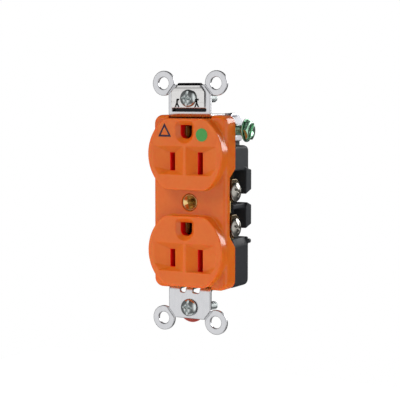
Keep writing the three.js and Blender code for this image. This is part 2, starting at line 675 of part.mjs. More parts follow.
// Moulded plate between the live contacts and the ground spine
function groundInsulator() {
  const [frontY, rearY] = [15.5, 16.5];
  const halfX = CHAMBER.midX - 0.4;
  const halfZ = CHAMBER.endZ - 0.4;
  let plate = bar('y', rectangle(-halfX, halfX, -halfZ, halfZ, 1), frontY, rearY);
  for (const z of PIN_CONTACT_Z) {
    plate = plate.subtract(box(-3.9, 3.9, frontY - 1, rearY + 1, z - 3, z + 3));
  }
  return plate.subtract(rod('y', 0, 0, SLEEVE.radius + 0.4, 10, THROUGH));
}

// ---------------------------------------------------------------- assembly

const receptacle = new THREE.Group();

function place(name, body, material, position = [0, 0, 0], rotation = [0, 0, 0]) {
  const mesh = new THREE.Mesh(toGeometry(body), material);
  mesh.name = name;
  mesh.position.set(...position);
  mesh.rotation.set(...rotation);
  receptacle.add(mesh);
}

place('face_cover', faceCover(), MATERIALS.orangeNylon);
place('rear_body', rearBody(), MATERIALS.blackNylon);
place('mounting_strap', mountingStrap(), MATERIALS.platedSteel);
place('plate_screw_bushing', plateScrewBushing(), MATERIALS.brass);
place('grounding_clip', groundingClip(), MATERIALS.springSteel);
place('ground_strap', groundStrap(), MATERIALS.nickel);
place('ground_insulator', groundInsulator(), MATERIALS.insulator);

// The two ends share one set of words: index 0 is the upper outlet, 1 the lower
const LEVELS = ['upper', 'lower'];
const SIDES = [['hot', -1, MATERIALS.brass], ['neutral', 1, MATERIALS.nickel]];
const FACING = { '-1': [0, -Math.PI / 2, 0], 1: [0, Math.PI / 2, 0] };

for (const [pole, side, plating] of SIDES) {
  place(`${pole}_terminal_plate`, terminalPlate(side), MATERIALS.brass);
  LEVELS.forEach((level, i) => {
    const turn = side > 0 ? [0, 0, 0] : [0, Math.PI, 0];
    const contactAt = [side * CONTACT.x, 0, CONTACT.z[i]];
    place(`${pole}_contact_${level}`, bladeContact(), MATERIALS.brass, contactAt, turn);
    const clampAt = [side * CLAMP.x, CLAMP_Y, CLAMP_Z[i]];
    place(`${pole}_clamp_${level}`, clampPlate(side), MATERIALS.brass, clampAt, FACING[side]);
    const screw = domedScrew(CLAMP_SCREW);
    const screwAt = [side * (CLAMP.x + CLAMP.thickness + GAP), CLAMP_Y, CLAMP_Z[i]];
    place(`${pole}_screw_${level}`, screw, plating, screwAt, FACING[side]);
  });
}

LEVELS.forEach((level, i) => {
  place(`ground_contact_${level}`, pinContact(), MATERIALS.brass, [0, 0, PIN_CONTACT_Z[i]]);
  const { y, z, droop, washerZ } = SCREW_SEAT[i];
  const outward = Math.PI / 2;
  const tilt = outward - THREE.MathUtils.degToRad(droop);
  const washer = ring(RETAINER.radius, RETAINER.hole, RETAINER.thickness);
  const washerAt = [0, RETAINER.rearY[i], washerZ];
  place(`mounting_screw_${level}`, domedScrew(MOUNT_SCREW), MATERIALS.zinc, [0, y, z], [tilt, 0, 0]);
  place(`retaining_washer_${level}`, washer, MATERIALS.redFibre, washerAt, [outward, 0, 0]);
});

const groundAt = [GROUND_SCREW.x, GROUND_SCREW.y, GROUND_SCREW.z];
const groundWasher = ring(GROUND_WASHER.radius, GROUND_WASHER.hole, GROUND_WASHER.thickness);
const groundWasherAt = [GROUND_WASHER.x, GROUND_SCREW.y, GROUND_SCREW.z];
place('ground_screw', hexScrew(), MATERIALS.greenPlate, groundAt, FACING[1]);
place('ground_screw_washer', groundWasher, MATERIALS.greenPlate, groundWasherAt, FACING[1]);

CORNER_SCREWS.forEach(([x, z], i) => {
  const at = [x, CORNER_SCREW.seatY + GAP, z];
  place(`assembly_screw_${i + 1}`, domedScrew(CORNER_SCREW), MATERIALS.zinc, at, [-Math.PI / 2, 0, 0]);
});

export default receptacle;
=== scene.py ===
import math
from functools import reduce

import bpy
import numpy as np
from mathutils import Matrix, Vector


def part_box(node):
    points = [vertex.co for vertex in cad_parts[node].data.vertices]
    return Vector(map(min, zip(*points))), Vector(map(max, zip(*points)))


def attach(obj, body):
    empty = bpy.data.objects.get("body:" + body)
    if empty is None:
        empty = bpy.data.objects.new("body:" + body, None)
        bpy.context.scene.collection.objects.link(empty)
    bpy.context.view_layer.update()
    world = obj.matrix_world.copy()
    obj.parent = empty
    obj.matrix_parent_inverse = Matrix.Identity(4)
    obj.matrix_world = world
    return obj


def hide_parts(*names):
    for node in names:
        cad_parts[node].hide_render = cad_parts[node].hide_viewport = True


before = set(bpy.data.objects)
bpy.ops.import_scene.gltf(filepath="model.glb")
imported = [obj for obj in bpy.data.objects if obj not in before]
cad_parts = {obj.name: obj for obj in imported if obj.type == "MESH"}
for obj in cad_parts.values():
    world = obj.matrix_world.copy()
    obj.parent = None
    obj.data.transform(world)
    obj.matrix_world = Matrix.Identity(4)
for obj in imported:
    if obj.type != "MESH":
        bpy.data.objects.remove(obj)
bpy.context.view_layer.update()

MM = 0.001
ROOT = "receptacle"


# ---------------------------------------------------------------- places from the frame

def node_box(node):
    """Lowest and highest corners of a CAD node, in millimetres."""
    low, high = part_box(node)
    return np.array(low) / MM, np.array(high) / MM


COVER_LOW, COVER_HIGH = node_box("face_cover")

FACE_Y = COVER_LOW[1]              # front of the two raised faces
SKIRT_Y = COVER_HIGH[1]            # rear rim of the cover
COVER_X = 16.7                     # half width of the cover behind the faces
COVER_Z = COVER_HIGH[2]
LOBE_Z = 19.45                     # centres of the faces, above and below the middle
LOBE_RADIUS = COVER_HIGH[0]
LOBE_FLAT = 14.25                  # half height of a face
FUNNEL_DEPTH = 1.9                 # of the lead-in recesses round the slots
INK = 0.04                         # how far the printed marks stand proud
SLOT_X = 6.35                      # middles of the blade slots
SLOT_HALF = 1                      # half their width
BLADE_SLOTS = {-1: (-6.5, 0.5), 1: (-7.9, 0.75)}       # ends, from the face's centre
PIN_MIDDLE, PIN_TOP, PIN_RADIUS = 8.65, 11.55, 2.5     # ground hole, from the same
PLATE_Y = 1.6                      # rear of the cover's front wall
LEDGE_Y = 3.3                      # rear of the cover beside the terminal bays
CHANNEL_X = 9.9                    # half width of the strap's channel
CHANNEL_Z = 33.7                   # height at which the channel starts

WALL = 1.6
HOLLOW_Z = 32.2                    # ends of the room inside the cover and the body
BODY_FRONT = SKIRT_Y + 0.3
BODY_REAR = 21.3
TONGUE_REAR = 22.5                 # rear of the tongues beside the terminal bays
BAY_WALL_X = 10.7                  # inner wall of the terminal bays
BAY_TOP, BAY_BOTTOM, BAY_BACK = 12.6, -14.9, 17.7
CLAMP_Y, CLAMP_Z = 7.45, (4.35, -9.97)
CORNER_SCREWS = ((12.4, -30.4), (-12.4, -30.4), (-12.4, 30.4))
BOSS_RADIUS, BOSS_HOLE = 2.9, 1.7
BUSHING_HOLE = 3.0
GROUND_SCREW = (12.75, 28.85)      # its place behind the front and above the middle

STRAP_HALF = 0.65                  # half the thickness of the strap
EAR_X, EAR_Z, EAR_RADIUS, EAR_HOLE = 12, 47.7, 5, 2.45
STRAP_END = 47.1
MOUNT_Z = 41.67                    # height of the box screws
MOUNT_SLOTS = ((MOUNT_Z, 3.2, 2.1), (-42.2, 3.4, 2.5))  # height, half length, radius
CLIP_FEET = (-5.2, 3.8)            # middles of the two spring feet
CLIP_SIDES, CLIP_TOP_SIDES, CLIP_TOP = (-8, 7.2), (-5.2, 5.1), 47.4


# ---------------------------------------------------------------- distance fields

class Grid:
    """Sample points of a block of space, kept as three broadcastable axes."""

    def __init__(self, low, high, step):
        self.low = np.array(low, float) - 2 * step
        self.step = step
        counts = np.ceil((np.array(high, float) + 2 * step - self.low) / step).astype(int) + 1
        axes = [self.low[i] + step * np.arange(counts[i]) for i in range(3)]
        self.x = axes[0].astype(np.float32)[:, None, None]
        self.y = axes[1].astype(np.float32)[None, :, None]
        self.z = axes[2].astype(np.float32)[None, None, :]


def slab(c, low, high):
    return np.abs(c - (low + high) / 2) - (high - low) / 2


def rect(a, b, a0, a1, b0, b1, corner=0.0):
    """Rectangle with rounded corners in the plane of two axes."""
    u = slab(a, a0, a1) + corner
    v = slab(b, b0, b1) + corner
    outside = np.hypot(np.maximum(u, 0), np.maximum(v, 0))
    return outside + np.minimum(np.maximum(u, v), 0) - corner


def disc(a, b, a0, b0, radius):
    return np.hypot(a - a0, b - b0) - radius


def polygon(a, b, corners):
    """Signed distance to a polygon in the plane of two axes."""
    a, b = np.broadcast_arrays(a, b)
    nearest = np.full(a.shape, np.inf, np.float32)
    inside = np.zeros(a.shape, bool)
    for (a0, b0), (a1, b1) in zip(corners, corners[1:] + corners[:1]):
        ea, eb = a1 - a0, b1 - b0
        t = np.clip(((a - a0) * ea + (b - b0) * eb) / (ea * ea + eb * eb), 0, 1)
        nearest = np.minimum(nearest, np.hypot(a - a0 - t * ea, b - b0 - t * eb))
        if b0 != b1:
            crosses = (b0 > b) != (b1 > b)
            inside ^= crosses & (a < a0 + (b - b0) * ea / eb)
    return np.where(inside, -nearest, nearest)


def meet(first, second, radius=0.0):
    """Overlap of two shapes, their shared edge rounded."""
    if radius == 0:
        return np.maximum(first, second)
    u = np.maximum(first + radius, 0)
    v = np.maximum(second + radius, 0)
    return np.minimum(-radius, np.maximum(first, second)) + np.hypot(u, v)


def merge(first, second, radius=0.0):
    """Union of two shapes, the inner corner between them filled."""
    return -meet(-first, -second, radius)


def cut(body, tool, radius=0.0):
    return meet(body, -tool, radius)


def bar(plan, along, low, high, edge):
    """A plan drawn on two axes, pushed along the third, with rounded edges."""
    return meet(plan, slab(along, low, high), edge)


# ---------------------------------------------------------------- meshing

EDGES = [(a, b) for a in range(8) for b in range(a + 1, 8) if bin(a ^ b).count("1") == 1]
CORNERS = np.array([[(c >> 2) & 1, (c >> 1) & 1, c & 1] for c in range(8)])


def net(field):
    """Vertices (in cells) and outward quads of the zero surface of a field."""
    inside = field < 0
    count = np.zeros(tuple(n - 1 for n in field.shape), np.uint8)
    for dx, dy, dz in CORNERS:
        nx, ny, nz = count.shape
        count += inside[dx:dx + nx, dy:dy + ny, dz:dz + nz]
    cells = np.argwhere((count > 0) & (count < 8))
    value = np.stack([field[tuple((cells + c).T)] for c in CORNERS], 1)
    total = np.zeros((len(cells), 3))
    hits = np.zeros(len(cells))
    for a, b in EDGES:
        crosses = (value[:, a] < 0) != (value[:, b] < 0)
        gap = np.where(crosses, value[:, a] - value[:, b], 1)
        t = value[:, a] / gap
        point = CORNERS[a] + t[:, None] * (CORNERS[b] - CORNERS[a])
        total += np.where(crosses[:, None], point, 0)
        hits += crosses
    number = np.full(count.shape, -1, np.int32)
    number[tuple(cells.T)] = np.arange(len(cells))
    quads = []
    for axis in range(3):
        head = [slice(None)] * 3
        tail = [slice(None)] * 3
        head[axis], tail[axis] = slice(None, -1), slice(1, None)
        starts, ends = inside[tuple(head)], inside[tuple(tail)]
        here = np.argwhere(starts != ends)
        leaves = starts[tuple(here.T)]
        one, two = np.eye(3, dtype=int)[(axis + 1) % 3], np.eye(3, dtype=int)[(axis + 2) % 3]
        ring = [here - one - two, here - two, here, here - one]
        quad = np.stack([number[tuple(r.T)] for r in ring], 1)
        quads.append(np.where(leaves[:, None], quad, quad[:, ::-1]))
    return cells + total / hits[:, None], np.concatenate(quads)


def sample(field, points):
    """Values of a field between its grid points."""
    top = np.array(field.shape) - 2
    base = np.clip(np.floor(points).astype(int), 0, top)
    f = points - base
    value = 0
    for corner in CORNERS:
        weight = np.prod(np.where(corner, f, 1 - f), axis=1)
        value = value + weight * field[tuple((base + corner).T)]
    return value


def settle(field, points, rounds=2):
    """Move points onto the zero surface along the field's slope."""
    for _ in range(rounds):
        slope = np.stack([
            sample(field, points + d) - sample(field, points - d) for d in 0.5 * np.eye(3)
        ], 1)
        length = np.maximum((slope ** 2).sum(1), 1e-9)
        move = -(sample(field, points) / length)[:, None] * slope
        points = points + np.clip(move, -0.5, 0.5)
    return points


def build_mesh(name, points, quads):
    mesh = bpy.data.meshes.new(name)
    mesh.vertices.add(len(points))
    mesh.vertices.foreach_set("co", points.astype(np.float32).ravel())
    mesh.loops.add(quads.size)
    mesh.loops.foreach_set("vertex_index", quads.astype(np.int32).ravel())
    mesh.polygons.add(len(quads))
    mesh.polygons.foreach_set("loop_start", np.arange(0, quads.size, 4, dtype=np.int32))
    mesh.update(calc_edges=True)
    mesh.validate()
    return mesh


def thin(mesh, keep):
    """Fewer faces where the surface is flat, with normals led by the large faces."""
    scratch = bpy.data.objects.new("scratch", mesh)
    bpy.context.scene.collection.objects.link(scratch)
    mesh.shade_smooth()
    decimate = scratch.modifiers.new("decimate", "DECIMATE")
    decimate.ratio = keep
    weigh = scratch.modifiers.new("weigh", "WEIGHTED_NORMAL")
    weigh.weight = 60
    graph = bpy.context.evaluated_depsgraph_get()
    result = bpy.data.meshes.new_from_object(scratch.evaluated_get(graph))
    name = mesh.name
    bpy.data.objects.remove(scratch)
    bpy.data.meshes.remove(mesh)
    result.name = name
    return result


def moulded(name, shape, low, high, step, keep):
    """Mesh of a shape, a function of a grid; keep is the share of faces that stay."""
    grid = Grid(low, high, step)
    field = np.ascontiguousarray(np.broadcast_to(
        shape(grid.x, grid.y, grid.z), (grid.x.size, grid.y.size, grid.z.size)
    ), dtype=np.float32)
    points, quads = net(field)
    points = settle(field, points)
    return thin(build_mesh(name, (grid.low + points * step) * MM, quads), keep)


def add_piece(name, mesh, body, material, nodes=(), place=None):
    """A copy of a mesh as a piece that rides on a body and stands for CAD nodes."""
    data = mesh.copy()
    if place is not None:
        data.transform(place)
    data.name = name
    data.materials.clear()
    data.materials.append(material)
    piece = bpy.data.objects.new(name, data)
    bpy.context.scene.collection.objects.link(piece)
    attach(piece, body)
    if nodes:
        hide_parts(*nodes)


# ---------------------------------------------------------------- materials

class Surface:
    """A principled material with short ways to add procedural detail."""

    def __init__(self, name, color, roughness, metallic=0.0):
        self.material = bpy.data.materials.new(name)
        self.material.use_nodes = True
        self.tree = self.material.node_tree
        self.shader = self.tree.nodes["Principled BSDF"]
        self.shader.inputs["Metallic"].default_value = metallic
        self.coordinate = self.node("ShaderNodeTexCoord").outputs["Object"]
        self.base = color
        self.color = None
        self.set_roughness = roughness

    def node(self, kind, **settings):
        made = self.tree.nodes.new(kind)
        for key, value in settings.items():
            setattr(made, key, value)
        return made

    def link(self, source, target):
        self.tree.links.new(source, target)

    def noise(self, scale, detail=4.0, stretch=(1, 1, 1), roughness=0.55):
        """Noise of a feature size in millimetres."""
        mapping = self.node("ShaderNodeMapping")
        mapping.inputs["Scale"].default_value = [s / (scale * MM) for s in stretch]
        self.link(self.coordinate, mapping.inputs["Vector"])
        texture = self.node("ShaderNodeTexNoise")
        texture.inputs["Scale"].default_value = 1.0
        texture.inputs["Detail"].default_value = detail
        texture.inputs["Roughness"].default_value = roughness
        self.link(mapping.outputs["Vector"], texture.inputs["Vector"])
        return texture.outputs["Fac"]

    def spread(self, value, low, high):
        """Map a noise value's usual range to low..high."""
        ranged = self.node("ShaderNodeMapRange")
        ranged.inputs["From Min"].default_value = 0.3
        ranged.inputs["From Max"].default_value = 0.7
        ranged.inputs["To Min"].default_value = low
        ranged.inputs["To Max"].default_value = high
        self.link(value, ranged.inputs["Value"])
        return ranged.outputs["Result"]

    def tint(self, mask, color):
        """Lay a colour over what is there, where the mask is 1."""
        mix = self.node("ShaderNodeMix", data_type="RGBA")
        if self.color is None:
            mix.inputs["A"].default_value = (*self.base, 1)
        else:
            self.link(self.color, mix.inputs["A"])
        mix.inputs["B"].default_value = (*color, 1)
        self.link(mask, mix.inputs["Factor"])
        self.color = mix.outputs["Result"]

    def within(self, x_range, y_range, z_range):
        """Mask of a block of the piece's own space, in millimetres."""
        parts = self.node("ShaderNodeSeparateXYZ")
        self.link(self.coordinate, parts.inputs["Vector"])
        product = None
        for axis, (low, high) in (("X", x_range), ("Y", y_range), ("Z", z_range)):
            for operation, limit in (("GREATER_THAN", low), ("LESS_THAN", high)):
                test = self.node("ShaderNodeMath", operation=operation)
                test.inputs[1].default_value = limit * MM
                self.link(parts.outputs[axis], test.inputs[0])
                if product is None:
                    product = test.outputs["Value"]
                    continue
                both = self.node("ShaderNodeMath", operation="MULTIPLY")
                self.link(product, both.inputs[0])
                self.link(test.outputs["Value"], both.inputs[1])
                product = both.outputs["Value"]
        return product

    # Painted shade: lays a colour over blocks of space that stand in shade
    def paint_shade_blocks(self, blocks, color):
        for block in blocks:
            self.tint(self.within(*block), color)

    def edges(self, low, high, strength):
        """Mask of convex edges, from the pointiness of the surface."""
        geometry = self.node("ShaderNodeNewGeometry")
        ranged = self.node("ShaderNodeMapRange")
        ranged.inputs["From Min"].default_value = low
        ranged.inputs["From Max"].default_value = high
        ranged.inputs["To Max"].default_value = strength
        self.link(geometry.outputs["Pointiness"], ranged.inputs["Value"])
        return ranged.outputs["Result"]

    def bump(self, height, strength, distance, below=None):
        bump = self.node("ShaderNodeBump")
        bump.inputs["Strength"].default_value = strength
        bump.inputs["Distance"].default_value = distance * MM
        self.link(height, bump.inputs["Height"])
        if below is not None:
            self.link(below, bump.inputs["Normal"])
        self.link(bump.outputs["Normal"], self.shader.inputs["Normal"])
        return bump.outputs["Normal"]

    def done(self, roughness_mask=None):
        low, high = self.set_roughness
        if roughness_mask is None:
            self.shader.inputs["Roughness"].default_value = (low + high) / 2
        else:
            self.link(self.spread(roughness_mask, low, high), self.shader.inputs["Roughness"])
        if self.color is None:
            self.shader.inputs["Base Color"].default_value = (*self.base, 1)
        else:
            self.link(self.color, self.shader.inputs["Base Color"])
        return self.material


# Painted shade: deep red for the shaded walls of the slots and holes in the orange nylon
SLOT_SHADE_RED = (0.74, 0.008, 0.006)
# Painted shade: near-black for metal in shade and for dark reflections
PAINTED_SHADE_BLACK = (0.02, 0.02, 0.022)


def plastic(name, color, dark, light, roughness, grain, glow=0.0, gloss=0.45, red_shade_blocks=()):
    """Moulded or fibrous surface; glow is how much light travels inside it.

    The given blocks of space, such as the walls of narrow slots, are painted a strong red that
    stands in for their shade.
    """
    surface = Surface(name, color, roughness)
    surface.shader.inputs["Specular IOR Level"].default_value = gloss
    surface.shader.inputs["Subsurface Weight"].default_value = glow
    surface.shader.inputs["Subsurface Radius"].default_value = (1.0, 0.14, 0.05)
    surface.shader.inputs["Subsurface Scale"].default_value = 2.6 * MM
    surface.tint(surface.spread(surface.noise(9.0, 3.0), 0.0, 0.5), dark)
    surface.tint(surface.spread(surface.noise(1.3, 5.0), 0.0, 0.25), light)
    # Convex edges are drawn in the lighter colour
    surface.tint(surface.edges(0.52, 0.6, 0.35), light)
    coarse = surface.bump(surface.noise(2.6, 2.0), 0.1, 0.05)
    surface.bump(surface.noise(grain, 3.0), 0.16, 0.03, below=coarse)
    # Painted shade: the walls of slots and holes are coloured deep red
    surface.paint_shade_blocks(red_shade_blocks, SLOT_SHADE_RED)
    return surface.done(surface.noise(3.5, 5.0))


def metal(name, color, dark, roughness, stretch=(1, 1, 1), scratch=0.25, shade_blocks=()):
    """Bare or plated metal; the given blocks of space are painted near-black, standing in for
    shade and dark reflections.
    """
    surface = Surface(name, color, roughness, metallic=1.0)
    surface.tint(surface.spread(surface.noise(4.0, 4.0), 0.0, 0.45), dark)
    surface.tint(surface.spread(surface.noise(0.5, 5.0, stretch), 0.0, 0.3), dark)
    # Painted shade: the given blocks are coloured near-black
    surface.paint_shade_blocks(shade_blocks, PAINTED_SHADE_BLACK)
    rolled = surface.bump(surface.noise(0.35, 4.0, stretch), scratch, 0.02)
    surface.bump(surface.noise(3.0, 2.0), scratch * 0.5, 0.08, below=rolled)
    return surface.done(surface.noise(0.8, 5.0, stretch))


# Blocks round the walls of the blade slots and ground holes, where a deep red is painted as their
# shade
CAVITY_Y = (FACE_Y + FUNNEL_DEPTH - 0.1, 0.9)
CAVITY_MARGIN = 0.2
CAVITY_PLANS = [
    (side * SLOT_X, SLOT_HALF + CAVITY_MARGIN, low - CAVITY_MARGIN, high + CAVITY_MARGIN)
    for side, (low, high) in BLADE_SLOTS.items()
] + [(0, 2.8, 6.4, 12.2)]
SHADED_CAVITIES = [
    ((middle - half, middle + half), CAVITY_Y, (up * LOBE_Z + low, up * LOBE_Z + high))
    for up in (1, -1)
    for middle, half, low, high in CAVITY_PLANS
]

# Blocks painted near-black: painted shade on the clip's rear panel behind the strap's slit, a
# painted dark reflection on the clip's fold, and painted shade on the part of the strap that the
# clip covers
HIDDEN_PANEL = ((-10, 10), (1.0, 1.75), (36.0, 38.4))
FOLD_LINE = ((-10, 10), (-2.0, 3.0), (46.75, 48.0))
COVERED_STRAP = ((-7.6, 6.8), (-0.3, 0.3), (38.5, 41.8))

# The orange nylon is painted deep red inside its slots and holes as their shade
ORANGE = plastic(
    "orange_nylon", (0.655, 0.134, 0.010), (0.60, 0.106, 0.007), (0.71, 0.177, 0.02),
    roughness=(0.12, 0.21), grain=0.35, glow=0.6, red_shade_blocks=SHADED_CAVITIES)
DARK = plastic(
    "dark_nylon", (0.018, 0.020, 0.023), (0.013, 0.014, 0.017), (0.038, 0.041, 0.046),
    roughness=(0.44, 0.56), grain=0.3, gloss=0.16)
NATURAL = plastic(
    "natural_nylon", (0.62, 0.60, 0.52), (0.55, 0.52, 0.44), (0.70, 0.68, 0.60),
    roughness=(0.4, 0.55), grain=0.4)
FIBRE = plastic(
    "red_fibre", (0.40, 0.045, 0.03), (0.30, 0.03, 0.02), (0.5, 0.1, 0.07),
    roughness=(0.6, 0.8), grain=0.25)
PRINT_NAVY = plastic(
    "navy_print", (0.014, 0.009, 0.030), (0.01, 0.006, 0.02), (0.03, 0.02, 0.05),
    roughness=(0.5, 0.6), grain=0.3)
PRINT_GREEN = plastic(
    "green_print", (0.05, 0.27, 0.055), (0.04, 0.22, 0.04), (0.07, 0.32, 0.08),
    roughness=(0.35, 0.45), grain=0.3)

# The strap carries painted shade where the clip covers it
STRIP = metal(
    "plated_steel", (0.80, 0.80, 0.82), (0.68, 0.69, 0.72), roughness=(0.24, 0.34),
    stretch=(1, 1, 0.12), scratch=0.08, shade_blocks=(COVERED_STRAP,))
# The clip carries painted shade behind the slit and a painted dark reflection on its fold
SPRING = metal(
    "spring_steel", (0.84, 0.83, 0.82), (0.72, 0.71, 0.70), roughness=(0.14, 0.24),
    stretch=(0.12, 1, 1), scratch=0.08, shade_blocks=(HIDDEN_PANEL, FOLD_LINE))
BRASS = metal(
    "brass", (0.86, 0.66, 0.32), (0.66, 0.42, 0.14), roughness=(0.12, 0.26),
    stretch=(1, 1, 0.3), scratch=0.15)
# Brass painted darker to stand in for the shade inside the terminal bays, used for the clamp
# plates
SHADED_BRASS = metal(
    "shaded_brass", (0.20, 0.15, 0.08), (0.10, 0.07, 0.04), roughness=(0.24, 0.36),
    stretch=(1, 1, 0.3))
NICKEL = metal(
    "nickel", (0.46, 0.44, 0.40), (0.26, 0.24, 0.21), roughness=(0.16, 0.24), scratch=0.1)
TINNED = metal(
    "tinned_strip", (0.80, 0.80, 0.84), (0.70, 0.71, 0.76), roughness=(0.30, 0.36),
    scratch=0.04)
ZINC = metal(
    "zinc", (0.76, 0.80, 0.79), (0.42, 0.48, 0.48), roughness=(0.12, 0.22), scratch=0.12)
GREEN = metal(
    "green_plate", (0.52, 0.78, 0.60), (0.18, 0.44, 0.26), roughness=(0.12, 0.24),
    scratch=0.1)


# ---------------------------------------------------------------- face cover

def ramp(x, z, edge_point, inner_point, normal):
    """Depth of a slope that starts at one point and is full depth at another."""
    na, nb = np.array(normal, float) / math.hypot(*normal)
    run = (inner_point[0] - edge_point[0]) * na + (inner_point[1] - edge_point[1]) * nb
    return FUNNEL_DEPTH * ((x - edge_point[0]) * na + (z - edge_point[1]) * nb) / run


def blade_recess(x, z, side, low, high):
    """Depth of the lead-in recess round a slot; z is from the lobe's centre."""
    inner = side * (SLOT_X - SLOT_HALF)
    outer = side * (SLOT_X + SLOT_HALF)
    ridge, rim_x, rim_top, rim_bottom = 0.3, 14.4, 3.35, -8.2
    chamfer, right, down = 14.6, 0.80, -0.60       # of the recess's lower outer corner
    return reduce(np.minimum, [
        ramp(x, z, (ridge * side, 0), (inner, 0), (side, 0)),
        ramp(x, z, (side * rim_x, 0), (outer, 0), (-side, 0)),
        ramp(x, z, (0, rim_top), (0, high), (0, -1)),
        ramp(x, z, (0, rim_bottom), (0, low), (0, 1)),
        ramp(x, z, (side * chamfer * right, chamfer * down), (outer, low), (-side * right, -down)),
    ])


def pin_hole(x, z):
    """Ground-pin hole, flat at the top and round below; z is from the lobe's centre."""
    round_end = np.where(z < PIN_MIDDLE, np.hypot(x, z - PIN_MIDDLE), np.abs(x) + 0 * z)
    return meet(round_end - PIN_RADIUS, z - PIN_TOP, 0.35)


def rooms(x, y, z, plans, front, rear):
    """Hollow space made of rectangular rooms, each given by its ends across and up."""
    return reduce(merge, [bar(rect(x, z, *plan, 1), y, front, rear, 0.5) for plan in plans])


def cover_shape(x, y, z):
    plan = rect(x, z, -COVER_X, COVER_X, -COVER_Z, COVER_Z, 3.6)
    cover = meet(plan, -y + 0 * x, 1.7)
    slots = []
    for up in (1, -1):
        zz = z - up * LOBE_Z
        lobe = meet(np.hypot(x, zz) - LOBE_RADIUS, np.abs(zz) - LOBE_FLAT, 0.8)
        recesses = [blade_recess(x, zz, side, *ends) for side, ends in BLADE_SLOTS.items()]
        mouth = FUNNEL_DEPTH * (1 - pin_hole(x, zz) / 1.8)
        depth = np.clip(reduce(np.maximum, [*recesses, mouth]), 0, FUNNEL_DEPTH)
        lobe = meet(lobe, FACE_Y + INK - y, 0.5)
        lobe = meet(lobe, (FACE_Y + INK + depth - y) * 0.9, 0.12)
        lobe = np.maximum(lobe, y - 1.0)
        cover = merge(cover, lobe, 0.55)
        for side, ends in BLADE_SLOTS.items():
            middle = side * SLOT_X
            slots.append(rect(x, zz, middle - SLOT_HALF, middle + SLOT_HALF, *ends, 0.25))
        slots.append(pin_hole(x, zz))
    cover = meet(cover, y - SKIRT_Y, 0.25)

    # Each side wall is cut away beside the terminal bays, on two slanting lines
    side = np.abs(x)
    top, top_slope, bottom, bottom_slope = 10, 0.73, -13.3, 0.96
    above = (z - top - top_slope * (y - LEDGE_Y)) / 1.24
    below = (bottom - bottom_slope * (y - LEDGE_Y) - z) / 1.39
    bay = np.maximum(LEDGE_Y - y, np.maximum(above, below))
    cover = cut(cover, meet(12.4 - side, bay, 0.5), 0.4)

    drop = SKIRT_Y - LEDGE_Y
    wide = 15.1
    hollow = rooms(x, y, z, (
        (-12.4, 12.4, -HOLLOW_Z, HOLLOW_Z),
        (-wide, wide, top + drop * top_slope, HOLLOW_Z),
        (-wide, wide, -HOLLOW_Z, bottom - drop * bottom_slope),
    ), PLATE_Y, 30)
    cover = cut(cover, hollow, 0.15)
    channel = meet(slab(x, -CHANNEL_X, CHANNEL_X), meet(CHANNEL_Z - np.abs(z), -0.3 - y))
    cover = cut(cover, channel, 0.2)
    cover = merge(cover, bar(disc(x, z, 0, 0, 5.5), y, 1, 5, 0.3), 0.4)
    for sx, sz in CORNER_SCREWS:
        cover = merge(cover, bar(disc(x, z, sx, sz, BOSS_RADIUS), y, 1, SKIRT_Y, 0.2), 0.3)
        cover = cut(cover, np.maximum(disc(x, z, sx, sz, BOSS_HOLE), 2.5 - y), 0.1)
    cover = cut(cover, disc(x, z, 0, 0, BUSHING_HOLE), 0.1)
    cover = cut(cover, np.maximum(disc(x, z, 0, 0, 3.55), y - 1.9), 0.25)
    for slot in slots:
        cover = cut(cover, slot, 0.12)
    return cover


# ---------------------------------------------------------------- rear body

def block(x, y, z, x0, x1, z0, z1):
    side = rect(y, z, -20, BODY_REAR, z0, z1, 3)
    front = rect(x, z, x0, x1, z0, z1, 1.6)
    return meet(meet(side, front, 0.9), BODY_FRONT - y, 0.3)


